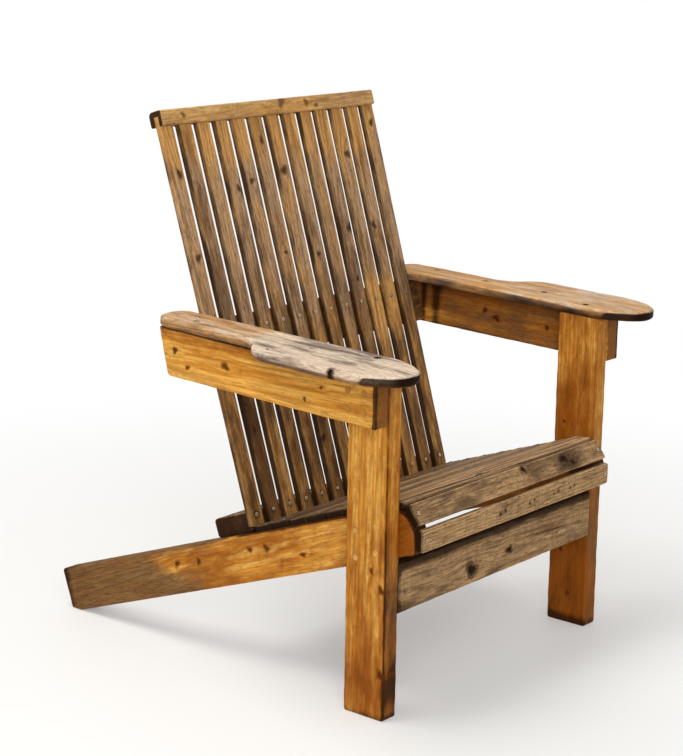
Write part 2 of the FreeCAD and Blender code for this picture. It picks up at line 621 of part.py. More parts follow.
# Upper rail behind the slats, between the arm boards.
rail = make_body("mid_blank", back_place)
rail_pad = pad(rail, polygon(rail, "YZ_Plane", box_corners(
    "0", "Sizes.board_thick", "Worked.rail_top - Sizes.board_wide", "Worked.rail_top")),
    "Sizes.frame_wide", both_ways=True)
soften(rail, "Fillet", edges_across(rail_pad), "Sizes.board_round")
nodes.append(bored(rail, "mid_rail", [mid_screws, arm_rear_dowels]))

# Lower rail: flat on the stringers, its front edge planed to the back's lean.
low = make_body("low_blank", spot("0", "Worked.back_y", "Worked.back_z", "-Worked.seat_slope"))
low_pad = pad(low, polygon(low, "YZ_Plane", [
    ("0", "0"),
    ("Sizes.board_wide", "0"),
    ("Sizes.board_wide", "Sizes.board_thick"),
    ("-Sizes.board_thick * tan(Worked.back_skew)", "Sizes.board_thick"),
]), "Worked.low_rail_long", both_ways=True)
soften(low, "Fillet", edges_across(low_pad), "Sizes.board_round")
nodes.append(bored(low, "low_rail", [low_screws, low_dowels]))

# Cap: a grooved strip pushed down over the heads of the slats.
cap = make_body("top_cap", back_place)
groove_front = "-Sizes.back_slat_thick - Sizes.cap_clear / 2"
groove_rear = "Sizes.cap_clear / 2"
cap_foot = "Worked.slat_top + Sizes.cap_clear - Sizes.cap_groove"
cap_pad = pad(cap, polygon(cap, "YZ_Plane", [
    (f"{groove_front} - Sizes.cap_front", cap_foot),
    (groove_front, cap_foot),
    (groove_front, "Worked.slat_top + Sizes.cap_clear"),
    (groove_rear, "Worked.slat_top + Sizes.cap_clear"),
    (groove_rear, cap_foot),
    (f"{groove_rear} + Sizes.cap_rear", cap_foot),
    (f"{groove_rear} + Sizes.cap_rear", "Worked.slat_top + Sizes.cap_clear + Sizes.cap_over"),
    (f"{groove_front} - Sizes.cap_front", "Worked.slat_top + Sizes.cap_clear + Sizes.cap_over"),
]), "Worked.cap_long", both_ways=True)
cap_high = worked.slat_top + sizes.cap_clear + sizes.cap_over
cap_rear = soften(cap, "Fillet", corner_edge(cap_pad, sizes.board_wide, cap_high), "Sizes.cap_round")
cap_outer = (corner_edge(cap_rear, -sizes.board_wide, cap_high)
             + corner_edge(cap_rear, -sizes.board_wide, cap_high - sizes.board_wide)
             + corner_edge(cap_rear, sizes.board_wide, cap_high - sizes.board_wide))
soften(cap, "Fillet", cap_outer, "Sizes.cap_ease")
nodes.append(cap)

nodes += [mid_screws, low_screws, seat_screws, rest_screws]
nodes += [leg_dowels, arm_dowels, arm_rear_dowels, apron_dowels, low_dowels]
doc.recompute()

for item in doc.Objects:
    if "Invalid" in item.State or "Error" in item.State:
        raise RuntimeError(f"{item.Label} is {item.State}")
for node in nodes:
    if node.Shape.isNull() or not node.Shape.isValid():
        raise RuntimeError(f"{node.Label} has no valid shape")

os.makedirs("parts", exist_ok=True)
for node in nodes:
    node.Shape.exportStep(f"parts/{node.Label}.step")
    box = node.Shape.BoundBox
    print(f"{node.Label:18s} solids {len(node.Shape.Solids):2d}  volume {node.Shape.Volume / 1000:9.2f} cm3"
          f"  x {box.XMin:7.1f} {box.XMax:7.1f}  y {box.YMin:7.1f} {box.YMax:7.1f}  z {box.ZMin:7.1f} {box.ZMax:7.1f}")
print(len(nodes), "nodes")
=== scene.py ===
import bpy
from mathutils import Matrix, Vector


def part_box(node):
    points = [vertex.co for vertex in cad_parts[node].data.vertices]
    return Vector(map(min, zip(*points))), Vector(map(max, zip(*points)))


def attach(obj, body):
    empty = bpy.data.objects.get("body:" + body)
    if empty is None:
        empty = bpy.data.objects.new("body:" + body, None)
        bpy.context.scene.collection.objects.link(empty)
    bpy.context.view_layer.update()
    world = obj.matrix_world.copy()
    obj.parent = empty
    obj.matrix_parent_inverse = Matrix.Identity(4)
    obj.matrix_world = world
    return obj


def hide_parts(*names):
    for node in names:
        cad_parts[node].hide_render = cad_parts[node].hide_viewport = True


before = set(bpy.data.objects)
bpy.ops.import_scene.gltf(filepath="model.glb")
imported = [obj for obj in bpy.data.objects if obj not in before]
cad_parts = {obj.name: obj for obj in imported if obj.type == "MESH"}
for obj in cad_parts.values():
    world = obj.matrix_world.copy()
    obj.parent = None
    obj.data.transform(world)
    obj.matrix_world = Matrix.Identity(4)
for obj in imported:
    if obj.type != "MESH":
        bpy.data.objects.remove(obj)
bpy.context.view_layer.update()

from functools import partial
from math import acos, asin, atan2, copysign, cos, hypot, pi, radians, sin, tan
import bmesh
import bpy
import numpy as np
from mathutils import Matrix

# Slatted deck chair in old varnished pine. Metres, the sitter faces -Y, right hand at -X.
# Lengths in the dictionaries are millimetres and angles degrees.
mm = 0.001
chair = {
    "middle": 390.725,      # origin behind the legs' front face
    "boardThick": 38, "boardWide": 89,
    "legInner": 300, "legOuter": 338,
    "legTop": 622, "armRise": 1.9,
    "seatTop": 386, "slope": 19.902, "stringerLong": 911,
    "backSet": 375, "lean": 17.3, "railTop": 397.3,
}
rise, slope, lean = (radians(chair[key]) for key in ("armRise", "slope", "lean"))
thick, wide = chair["boardThick"], chair["boardWide"]
sides = (("right", -1), ("left", 1))
anyTurn = 6.3      # radians, the span that random starts are drawn from
nodeBox = {name: np.array(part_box(name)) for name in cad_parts}
print("frame loaded:", len(nodeBox), "nodes")


def vec(x, y, z):
    return np.array([x, y, z], float)


def fromLegs(x, y, z):
    # a point given in millimetres from the legs' front face and the floor
    return vec(x, y - chair["middle"], z) * mm


def ramp(x, low, high):
    # eased step, 0 at low and 1 at high
    t = np.clip((x - low) / (high - low), 0, 1)
    return t * t * (3 - 2 * t)


def hump(x, middle, reach):
    # smooth bump, 1 at its middle
    return np.exp(-((x - middle) / reach) ** 2)


leftward = vec(1, 0, 0)
armAlong, armUp = vec(0, cos(rise), sin(rise)), vec(0, -sin(rise), cos(rise))
seatAlong, seatUp = vec(0, cos(slope), -sin(slope)), vec(0, sin(slope), cos(slope))
backUp = vec(0, sin(lean), cos(lean))
backOut = vec(0, -cos(lean), sin(lean))      # towards the sitter
backFoot = fromLegs(0, chair["backSet"] * cos(slope), chair["seatTop"] - chair["backSet"] * sin(slope))


# shapes

def rounded(points, radii):
    # open path through the points, each inner corner replaced by a tangent arc of its radius
    arcPlaces = 17
    points = [np.array(p, float) for p in points]
    path = [points[0][None]]
    for before, here, after, radius in zip(points, points[1:], points[2:], radii):
        inward = (before - here) / np.linalg.norm(before - here)
        outward = (after - here) / np.linalg.norm(after - here)
        turn = acos(np.clip(inward @ outward, -1, 1)) / 2
        reach = radius / tan(turn)
        middle = here + (inward + outward) / np.linalg.norm(inward + outward) * radius / sin(turn)
        start, stop = here + inward * reach - middle, here + outward * reach - middle
        sweep = np.linspace(0, 1, arcPlaces)[:, None]
        angle = acos(np.clip(start @ stop / radius ** 2, -1, 1))
        path.append(middle + (np.sin((1 - sweep) * angle) * start + np.sin(sweep * angle) * stop) / sin(angle))
    return np.concatenate(path + [points[-1][None]])


def spaced(path, count):
    # the same path with its points at even steps
    run = np.concatenate([[0], np.cumsum(np.linalg.norm(np.diff(path, axis=0), axis=1))])
    at = np.linspace(0, run[-1], count + 1)
    return np.stack([np.interp(at, run, path[:, i]) for i in range(2)], 1)


def ripple(run, seed, waves):
    # slow uneven wave round a closed line: a few sines, each with a whole number of turns and its own start
    rng = np.random.default_rng(seed)
    total = np.zeros_like(run)
    for length in waves:
        turns = max(1, round(run[-1] / length))
        total += np.sin(run * 2 * pi * turns / run[-1] + rng.uniform(0, anyTurn))
    return total / len(waves)


def quadGrid(index):
    # quads between the rows of a grid of points that closes on itself sideways
    right = np.roll(index, -1, 1)
    return np.stack([index[:-1], right[:-1], right[1:], index[1:]], -1).reshape(-1, 4)


def fan(hub, ring):
    # quads from a middle point over each pair of steps round a ring
    pair = np.arange(0, len(ring), 2)
    return np.stack([0 * pair + hub, ring[pair], ring[pair + 1], ring[(pair + 2) % len(ring)]], 1)


# how boards are worn: the rounding wavers by a share over these lengths and stays under a share of the thickness
sawn = {"waver": 0.3, "waves": (210, 83, 37), "mostRound": 0.45, "arcPlaces": 6}
spineInset = (0.4, 0.3)      # the spine's start from the tip, as a share of width or length, whichever is less


def blank(sideA, sideB, thick, edgeRound, endRound, step, seed):
    # A sawn board. Around its outline (two edges run from the tip to the tail) each point is carried over a
    # section: from the spine out over the top, round the worn edge, down the side, round and back underneath.
    # Point = spine + share * (outline - inset * normal - spine), depth = a * thick + b * rounding.
    count = len(sideA) - 1
    ring = np.concatenate([sideA, sideB[-2:0:-1]])
    total = len(ring)
    ahead, behind = np.roll(ring, -1, 0), np.roll(ring, 1, 0)
    tangent = ahead - behind
    tangent /= np.linalg.norm(tangent, axis=1)[:, None]
    area = np.sum(ring[:, 0] * ahead[:, 1] - ahead[:, 0] * ring[:, 1])
    normal = np.stack([tangent[:, 1], -tangent[:, 0]], 1) * np.sign(area)
    endwise = normal[:, 0] ** 2
    run = np.cumsum(np.linalg.norm(ring - behind, axis=1))
    soft = edgeRound + (endRound - edgeRound) * endwise
    soft = soft * (1 + sawn["waver"] * ripple(run, seed, sawn["waves"]))
    soft = np.minimum(soft, thick * sawn["mostRound"])
    # spine: evenly from near the tip to near the tail, midway between the edges
    middle = (sideA + sideB) / 2
    width = np.max(np.abs(sideA[:, 1] - sideB[:, 1]))
    inset = min(width * spineInset[0], spineInset[1] * np.ptp(ring[:, 0]))
    spineA = np.linspace(ring[:, 0].min() + inset, ring[:, 0].max() - inset, count + 1)
    order = np.argsort(middle[:, 0], kind="stable")
    spineB = np.interp(spineA, middle[order, 0], middle[order, 1])
    half = np.concatenate([np.arange(count + 1), np.arange(count - 1, 0, -1)])
    spine = np.stack([spineA, spineB], 1)[half]

    faceRows = max(4, round(width / 2 / step))
    wallRows = max(2, round(thick / step))
    turn = np.radians(np.linspace(0, 90, sawn["arcPlaces"]))
    flat = np.linspace(0, 1, faceRows + 1)[:-1]
    wall = np.linspace(0, 1, wallRows + 1)[1:-1]
    one, zero = np.ones_like, np.zeros_like
    share = np.concatenate([flat, one(turn), one(wall), one(turn), flat[::-1]])
    cut = np.concatenate([one(flat), 1 - np.sin(turn), zero(wall), 1 - np.sin(turn[::-1]), one(flat)])
    deepA = np.concatenate([zero(flat), zero(turn), wall, one(turn), one(flat)])
    deepB = np.concatenate([zero(flat), 1 - np.cos(turn), 1 - 2 * wall, np.cos(turn[::-1]) - 1, zero(flat)])
    rim = ring - (cut[:, None] * soft)[..., None] * normal
    flatPoint = spine + share[:, None, None] * (rim - spine)
    deep = deepA[:, None] * thick + deepB[:, None] * soft
    gap = np.sum((ring - flatPoint) * normal, axis=2)
    edge = np.hypot(gap, np.minimum(deep, thick - deep))
    onWall = np.clip(1 - gap / np.maximum(soft, 1e-6), 0, 1)
    onWall = onWall * np.clip(np.minimum(deep, thick - deep) / soft, 0, 1)
    ends = np.broadcast_to(endwise, gap.shape) * onWall

    rows = len(share)
    index = np.zeros((rows, total), int)
    index[0] = half
    index[1:-1] = count + 1 + np.arange((rows - 2) * total).reshape(rows - 2, total)
    index[-1] = count + 1 + (rows - 2) * total + half

    def pick(grid):
        # both spines once, all that lies between them whole
        between = grid[1:-1].reshape((-1,) + grid.shape[2:])
        return np.concatenate([grid[0, :count + 1], between, grid[-1, :count + 1]])

    local = np.concatenate([flatPoint, (thick - deep)[..., None]], axis=2)
    return {"local": pick(local), "faces": quadGrid(index), "edge": pick(edge), "ends": pick(ends)}


def punched(body, thick, holes):
    # Sunk holes in the upper face: the faces round each middle go, and rings follow from the cut edge to the rim,
    # down the wall and in to the floor. Each ring is middle + radius * (cos turn, sin turn).
    margin, skin = 1.5, 0.5      # cut this far past the rim, in this depth of the upper face
    doublings = 10      # enough for a cut edge of 2 ** 10 sides
    for at, side, radius, depth in holes:
        local, faces = body["local"], body["faces"]
        near = np.hypot(local[:, 0] - at, local[:, 1] - side) < radius + margin
        near &= local[:, 2] > thick - skin
        gone = near[faces].any(1)
        # the cut edge is the sides of the lost faces that no other lost face has the other way round
        start, stop = faces[gone].ravel(), np.roll(faces[gone], -1, 1).ravel()
        lone = ~np.isin(start * len(local) + stop, stop * len(local) + start)
        start, stop = start[lone], stop[lone]
        # put end to end: steps left until the first side comes round again, counted by doubling the stride
        follow = np.argsort(start)[np.searchsorted(np.sort(start), stop)]
        steps = np.ones(len(start), int)
        steps[0], follow[0] = 0, 0
        for _ in range(doublings):
            steps, follow = steps + steps[follow], follow[follow]
        fringe = start[np.argsort(-steps)]
        count = len(fringe)      # even, as the rim of a patch of quads always is
        x, y = local[fringe, 0] - at, local[fringe, 1] - side
        way = np.sign(np.sum(x * np.roll(y, -1) - np.roll(x, -1) * y))
        turn = np.sort(way * np.unwrap(np.arctan2(y, x)))
        turn = way * (turn + turn[0] + np.arange(count) / count * 2 * pi) / 2      # halfway to even steps
        profile = ((radius + 0.5, 0), (radius, min(0.6, depth * 0.5)), (radius, depth * 0.6),
                   (radius * 0.95, depth), (radius * 0.5, depth))
        rings = [np.stack([at + size * np.cos(turn), side + size * np.sin(turn), 0 * turn + thick - drop], 1)
                 for size, drop in profile]
        rows = [fringe] + [len(local) + i * count + np.arange(count) for i in range(len(rings))]
        fresh = np.concatenate(rings + [np.array([[at, side, thick - depth]])])
        base = fan(len(local) + len(rings) * count, rows[-1])
        body["local"] = np.concatenate([local, fresh])
        body["faces"] = np.concatenate([faces[~gone], quadGrid(np.stack(rows)), base])
        low = np.clip((thick - fresh[:, 2]) / depth, 0, 1) * min(1, depth / 2.2)
        body["edge"] = np.concatenate([body["edge"], 6 + 20 * low])
        body["ends"] = np.concatenate([body["ends"], low])
    # points that no face uses any more go
    used, flat = np.unique(body["faces"], return_inverse=True)
    body["faces"] = flat.reshape(-1, 4)
    for part in ("local", "edge", "ends"):
        body[part] = body[part][used]
    return body


def facing(points, faces):
    # faces turned so that the closed surface holds a positive volume
    a, b, c, d = (points[faces[:, i]] for i in range(4))
    volume = np.sum(np.cross(b - a, c - a) * a) + np.sum(np.cross(c - a, d - a) * a)
    return faces if volume > 0 else faces[:, ::-1]


def makePiece(name, points, faces, material, node, marks):
    faces = facing(points, faces)
    mesh = bpy.data.meshes.new(name)
    mesh.vertices.add(len(points))
    mesh.vertices.foreach_set("co", points.astype(np.float32).ravel())
    mesh.loops.add(faces.size)
    mesh.loops.foreach_set("vertex_index", faces.astype(np.int32).ravel())
    mesh.polygons.add(len(faces))
    mesh.polygons.foreach_set("loop_start", np.arange(0, faces.size, faces.shape[1], dtype=np.int32))
    mesh.polygons.foreach_set("use_smooth", np.ones(len(faces), bool))
    mesh.update(calc_edges=True)
    for key, values in marks.items():
        spot = mesh.attributes.new(key, "FLOAT_VECTOR", "POINT")
        spot.data.foreach_set("vector", values.astype(np.float32).ravel())
    mesh.materials.append(material)
    piece = bpy.data.objects.new(name, mesh)
    bpy.context.scene.collection.objects.link(piece)
    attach(piece, "root")
    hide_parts(node)
    return piece


# a knot beside its radius: longer along the grain, and how far and how strongly it bends the grain round it
knotShape = {"long": 1.2, "lumps": (0.2, 0.16), "reach": (3.6, 2), "pull": 0.55, "lift": 3, "fade": (1.6, 1.5)}
wearDepth = 3.2      # how far in from an edge the rubbing shows


def grainMarks(local, edge, ends, wood, paint):
    # Where each point lies in the log: along it, and across and deep from the heart, in millimetres.
    # Near a knot the across part is drawn in towards the knot's line, so the grain parts around it.
    rng = np.random.default_rng(wood["seed"])
    along, across, deep = local.T
    full, knot, broad = np.ones_like(along), np.zeros_like(along), across
    (two, three), (reachA, reachB), (fade, most) = (knotShape[key] for key in ("lumps", "reach", "fade"))
    for at, side, size in wood.get("knots", ()):
        a, b = along - at, broad - side
        turn = np.arctan2(b, a)
        lump = (1 + two * np.sin(2 * turn + rng.uniform(0, anyTurn))
                + three * np.sin(3 * turn + rng.uniform(0, anyTurn)))
        far = np.hypot(a / knotShape["long"], b) / (size * lump)
        pull = hump(a, 0, size * reachA) * hump(b, 0, size * reachB)
        across = across - b * knotShape["pull"] * pull
        deep = deep + knotShape["lift"] * pull * copysign(1, rng.uniform(-1, 1))
        knot = np.maximum(knot, np.clip(fade - far, 0, most) / most)
    heart = wood.get("heart", (rng.uniform(-20, 20), rng.uniform(25, 60)))
    tilt = rng.uniform(-0.03, 0.03)
    grain = np.stack([along + rng.uniform(0, 4000), across - broad.mean() - heart[0] + tilt * along,
                      deep + heart[1] + 0.02 * along], 1)
    # pale rubbed edges; on the armrests this is also a painted highlight along the rounded edges
    worn = wood.get("wear", 1) * np.exp(-edge / wearDepth)
    state = [part * full for part in paint(along, broad, local[:, 2])]
    return {"grain": grain, "marks": np.stack([knot, worn, ends], 1), "state": np.stack(state, 1)}


def board(node, place, edges, wood, finish, paint, thick=thick, step=3.2, fix=None):
    # place holds the origin and the three directions: along, across, thick
    body = blank(*edges, thick, wood["round"], wood["endRound"], step, wood["seed"])
    body = punched(body, thick, wood.get("holes", ()))
    local = body["local"]
    marks = grainMarks(local, body["edge"], body["ends"], wood, paint)
    if fix:
        local = fix(local)
    points = place[0] + (local * mm) @ np.array(place[1:])
    return makePiece(f"{node}_board", points, body["faces"], pine[finish], node, marks)


def rectangle(a0, a1, b0, b1, corner, step=3.2, slantTop=0.0, slantTail=0.0, lastCorner=None):
    # two edges of an upright rectangle, from the middle of one end to the middle of the other
    count = round(((a1 - a0) + (b1 - b0)) / step)
    mid = (b0 + b1) / 2
    tip, tail = (a0 + slantTop / 2, mid), (a1 + slantTail / 2, mid)
    edgeA = rounded([tip, (a0, b0), (a1, b0), tail], (corner, corner))
    edgeB = rounded([tip, (a0 + slantTop, b1), (a1 + slantTail, b1), tail], (corner, lastCorner or corner))
    return spaced(edgeA, count), spaced(edgeB, count)


# finishes

def tint(code):
    # sRGB hex to linear
    parts = [int(code[i:i + 2], 16) / 255 for i in (1, 3, 5)]
    return [p / 12.92 if p <= 0.04045 else ((p + 0.055) / 1.055) ** 2.4 for p in parts] + [1]


def addNode(tree, kind, inputs=None, out=0, **settings):
    node = tree.nodes.new("ShaderNode" + kind)
    for key, value in settings.items():
        setattr(node, key, value)
    for key, value in (inputs or {}).items():
        if isinstance(value, bpy.types.NodeSocket):
            tree.links.new(value, node.inputs[key])
        else:
            node.inputs[key].default_value = value
    return node.outputs[out] if len(node.outputs) else node


def newMaterial(name):
    material = bpy.data.materials.new(name)
    material.use_nodes = True
    tree = material.node_tree
    tree.nodes.clear()
    out = addNode(tree, "OutputMaterial")
    shader = tree.nodes.new("ShaderNodeBsdfPrincipled")
    tree.links.new(shader.outputs[0], out.inputs["Surface"])
    return material, tree, shader


def agedPine(name, look):
    # Sawn and planed pine under an old varnish: growth rings with dark late wood, fine fibres, knots,
    # dirt in the grain together with painted shade, edges rubbed pale (on the armrests partly a painted highlight)
    # and silvered wood where the varnish is gone.
    material, tree, shader = newMaterial(name)
    add = partial(addNode, tree)
    grain, marks, state = (add("Attribute", out="Vector", attribute_name=key) for key in ("grain", "marks", "state"))
    _, across, deep = add("SeparateXYZ", {0: grain}).node.outputs
    knot, worn, ends = add("SeparateXYZ", {0: marks}).node.outputs
    # the second value is dirt and painted shade together
    aged, dirtAndShade, tone = add("SeparateXYZ", {0: state}).node.outputs

    # noise cells: length along the grain and width across it in millimetres, then detail
    cells = {"fibre": (45, 1.1, 2), "streak": (520, 8, 4), "blotch": (110, 34, 4), "mottle": (24, 10, 3),
             "speck": (9, 2.6, 3), "fleck": (20, 1.6, 3), "wander": (430, 70, 2), "fade": (300, 22, 2),
             "smudge": (90, 17, 5), "scuff": (12, 4, 4), "saw": (4, 90, 2)}      # saw marks drawn coarser to show
    noise = {}
    for lift, (key, (long, broad, detail)) in enumerate(cells.items()):
        size = add("Mapping", {0: grain, 1: (3.7 * lift, 5.1 * lift, 2.9 * lift),
                               3: (1 / long, 1 / broad, 1 / broad)})
        noise[key] = add("TexNoise", {"Vector": size, "Scale": 1.0, "Detail": detail, "Roughness": 0.6})

    # growth rings round the heart of the log, bent by a slow wander
    square = add("Math", {0: across, 1: across}, operation="MULTIPLY")
    square = add("Math", {0: deep, 1: deep, 2: square}, operation="MULTIPLY_ADD")
    radius = add("Math", {0: square}, operation="SQRT")
    radius = add("Math", {0: noise["wander"], 1: look["wander"], 2: radius}, operation="MULTIPLY_ADD")
    radius = add("Math", {0: noise["fibre"], 1: 0.8, 2: radius}, operation="MULTIPLY_ADD")
    phase = add("Math", {0: radius, 1: look["ring"]}, operation="DIVIDE")
    phase = add("Math", {0: phase}, operation="FRACT")

    # a knot's bark: a dark, broken and wavering line where the knot's own slope passes its middle
    rim = add("Math", {0: noise["speck"], 1: 0.5, 2: knot}, operation="MULTIPLY_ADD")
    rim = add("Math", {0: add("Math", {0: rim, 1: 0.66}, operation="SUBTRACT")}, operation="ABSOLUTE")
    broken = add("Math", {0: noise["mottle"], 1: 1.6, 2: 0.1}, operation="MULTIPLY_ADD")

    # masks: noise * gain + base, eased from low to high
    masks = {
        "ringRise": (phase, 1.0, 0.0, 0.3, 0.9), "ringFall": (phase, -1.0, 1.0, 0.0, 0.07),
        "fade": (noise["fade"], 1.0, 0.0, 0.3, 0.65), "pale": (noise["streak"], 1.0, 0.0, 0.36, 0.62),
        "fibre": (noise["fibre"], 1.0, 0.0, 0.45, 0.7), "stain": (noise["blotch"], 1.0, tone, 0.44, 0.8),
        "mottle": (noise["mottle"], 1.0, tone, 0.42, 0.7), "bare": (noise["blotch"], 1.1, aged, 0.75, 1.2),
        "fleck": (noise["fleck"], 1.0, 0.0, 0.55, 0.72), "rubAndHighlight": (noise["speck"], 0.9, worn, 0.95, 1.35),
        "soilAndShade": (noise["blotch"], 1.2, dirtAndShade, 0.8, 1.45), "end": (noise["speck"], 0.2, ends, look["endFrom"], 0.9),
        "halo": (noise["speck"], 0.6, knot, 0.45, 0.9), "core": (noise["speck"], 0.6, knot, 0.64, 1.08),
        "bark": (rim, -5.0, broken, 0.3, 0.9), "smudge": (noise["smudge"], 1.0, tone, 0.46, 0.74),
        "scuff": (noise["scuff"], 1.0, 0.0, 0.54, 0.68), "saw": (noise["saw"], 1.0, 0.0, 0.46, 0.66),
    }
    mask = {}
    for key, (source, gain, base, low, high) in masks.items():
        value = add("Math", {0: source, 1: gain, 2: base}, operation="MULTIPLY_ADD")
        mask[key] = add("MapRange", {0: value, 1: low, 2: high}, interpolation_type="SMOOTHSTEP")
    late = add("Math", {0: mask["ringRise"], 1: mask["ringFall"]}, operation="MULTIPLY")
    ringLine = add("Math", {0: late, 1: mask["fade"]}, operation="MULTIPLY")
    openLine = add("Math", {0: late, 1: 0.45, 2: mask["fleck"]}, operation="MULTIPLY_ADD", use_clamp=True)
    openGrain = add("Math", {0: mask["fibre"], 1: openLine}, operation="MAXIMUM")
    sawLine = add("Math", {0: mask["saw"], 1: mask["bare"]}, operation="MULTIPLY")
    paints = {key: tint(value) for key, value in look.items() if str(value).startswith("#")}
    paints["silver"] = add("Mix", {0: openGrain, 6: paints["silver"], 7: paints["silverDark"]}, out=2, data_type="RGBA")

    # colours laid one over another: how much at most, where, which
    colour = add("Mix", {0: mask["pale"], 6: paints["pale"], 7: paints["body"]}, out=2, data_type="RGBA")
    for depth, where, over in (
            (look["stainDepth"], mask["stain"], "stain"), (0.4, mask["mottle"], "stain"),
            (look["ringDepth"], ringLine, "late"), (0.4, mask["fibre"], "late"), (1.0, mask["bare"], "silver"),
            (look["saw"], sawLine, "silverDark"), (look["fleck"], mask["fleck"], "soilAndShade"),
            (look["smudge"], mask["smudge"], "smudged"), (look["scuff"], mask["scuff"], "soilAndShade"),
            (look["rubAndHighlight"], mask["rubAndHighlight"], "rubbedAndHighlit"), (look["endDepth"], mask["end"], "endGrain"),
            (0.9, mask["soilAndShade"], "soilAndShade"), (0.5, mask["halo"], "knotHalo"),
            (look["core"], mask["core"], "knot"), (look["bark"], mask["bark"], "knot")):
        amount = add("Math", {0: where, 1: depth}, operation="MULTIPLY")
        colour = add("Mix", {0: amount, 6: colour, 7: paints[over]}, out=2, data_type="RGBA")
    tree.links.new(colour, shader.inputs["Base Color"])
    shader.inputs["Specular IOR Level"].default_value = 0.04      # old varnish, dulled all over

    rough = add("MapRange", {0: mask["bare"], 3: look["rough"], 4: look["bareRough"]})
    rough = add("Math", {0: noise["speck"], 1: 0.2, 2: rough}, operation="MULTIPLY_ADD")
    tree.links.new(rough, shader.inputs["Roughness"])
    height = add("Math", {0: openGrain, 1: -0.7, 2: noise["speck"]}, operation="MULTIPLY_ADD")
    height = add("Math", {0: noise["mottle"], 1: 1.2, 2: height}, operation="MULTIPLY_ADD")
    bump = add("Bump", {"Height": height, "Strength": look["bump"], "Distance": 0.0008})
    tree.links.new(bump, shader.inputs["Normal"])
    return material


def wornScrew(name, look):
    # zinc plated steel, dulled, with rust and dirt round the rim and in the recess
    material, tree, shader = newMaterial(name)
    add = partial(addNode, tree)
    rim = add("SeparateXYZ", {0: add("Attribute", out="Vector", attribute_name="marks")})
    patch = add("TexNoise", {"Vector": add("TexCoord", out="Object"), "Scale": 1 / (look["patch"] * mm), "Detail": 3.0})
    amount = add("Math", {0: patch, 1: rim}, operation="ADD")
    rust = add("MapRange", {0: amount, 1: 0.6, 2: 1.0}, interpolation_type="SMOOTHSTEP")
    colour = add("Mix", {0: rust, 6: tint(look["steel"]), 7: tint(look["rust"])}, out=2, data_type="RGBA")
    tree.links.new(colour, shader.inputs["Base Color"])
    tree.links.new(add("Math", {0: 1.0, 1: rust}, operation="SUBTRACT"), shader.inputs["Metallic"])
    tree.links.new(add("MapRange", {0: rust, 3: look["rough"], 4: 0.8}), shader.inputs["Roughness"])
    return material


# how each pine looks, a column per wood
looks = {
    "name": ("varnishedPineFrame", "weatheredPineArmrest", "weatheredPineSeat",
             "stainedPineBack", "stainedPineCap", "pinePlug"),
    "pale": ("#F0B75A", "#DDB078", "#CCA67A", "#E8B068", "#E8BA76", "#EABF74"),      # early wood
    "body": ("#D08A30", "#BE8A50", "#86623E", "#C28C50", "#D09C58", "#DAA654"),
    "late": ("#7C420F", "#855A30", "#301C0E", "#6C4826", "#966432", "#B98446"),      # the rings' dark late wood
    "stain": ("#94490D", "#744822", "#4A2E1A", "#704A2A", "#8A5C2E", "#A46A2A"),
    "stainDepth": (0.8, 0.6, 0.7, 0.7, 0.7, 0.6),
    "silver": ("#8E6C44", "#EED8BE", "#C8A274", "#C8A27A", "#CCA478", "#B39A78"),      # bare wood
    "silverDark": ("#543A24", "#A89078", "#6C4E32", "#745438", "#866442", "#8A6E4C"),      # its open grain
    "rubbedAndHighlit": ("#E2B46C", "#FAEAD4", "#D6B488", "#DCAE70", "#EAC68C", "#CFA05A"),
    "rubAndHighlight": (0.18, 0.9, 0.6, 0.3, 0.5, 0),      # edges rubbed pale; on the armrests also a painted highlight along the rounded edges
    "fleck": (0.22, 0.3, 0.22, 0.45, 0.3, 0.2),
    "saw": (0, 0.2, 0.28, 0, 0, 0),      # saw marks on bare wood
    "smudged": ("#7A420F", "#5C4C46", "#4C3A2C", "#4A3120", "#5E3E1E", "#A8702E"),
    "smudge": (0.3, 0.85, 0.6, 0.65, 0.7, 0.3),      # dull greasy patches
    "scuff": (0.25, 0.25, 0.35, 0.35, 0.28, 0.2),
    "soilAndShade": ("#2E1608", "#1E0D06", "#26160C", "#2C180A", "#382210", "#341A08"),      # dirt, and painted shade
    "endGrain": ("#6E3E18", "#180A04", "#24140A", "#2E180A", "#24140A", "#B08048"),      # sawn ends
    "endDepth": (0.85, 1, 0.95, 0.9, 0.95, 0.3),
    "endFrom": (0.55, 0.2, 0.5, 0.5, 0.4, 0.55),
    "knot": ("#341204", "#1C0E06", "#180C06", "#24140A", "#3A1E0C", "#43220F"),
    "knotHalo": ("#8A4310", "#5E3C20", "#4A301C", "#5A3A20", "#74481F", "#8A4B1E"),
    "core": (0.8, 1, 0.95, 0.75, 0.55, 0.6),      # the knot's middle
    "bark": (0.25, 0.3, 0.5, 0.35, 0.3, 0),
    "ring": (4.2, 4.6, 5.2, 3.8, 4, 1.8),      # millimetres from ring to ring
    "ringDepth": (0.36, 0.6, 1, 0.5, 0.5, 0.4),
    "wander": (2.5, 7, 4, 4, 5, 2),
    "rough": (0.34, 0.38, 0.44, 0.38, 0.38, 0.4),
    "bareRough": (0.6, 0.55, 0.66, 0.6, 0.6, 0.7),      # roughness where the varnish is gone
    "bump": (0.25, 0.4, 0.5, 0.4, 0.3, 0.3),
}
pine = {wood: agedPine(looks["name"][i], {key: row[i] for key, row in looks.items()})
        for i, wood in enumerate(("frame", "rest", "seat", "back", "cap", "plug"))}
zincScrew = wornScrew("dullZincScrew", {"steel": "#D0BC9C", "rust": "#4A2E1A", "rough": 0.36, "patch": 2.2})
print("finishes made")
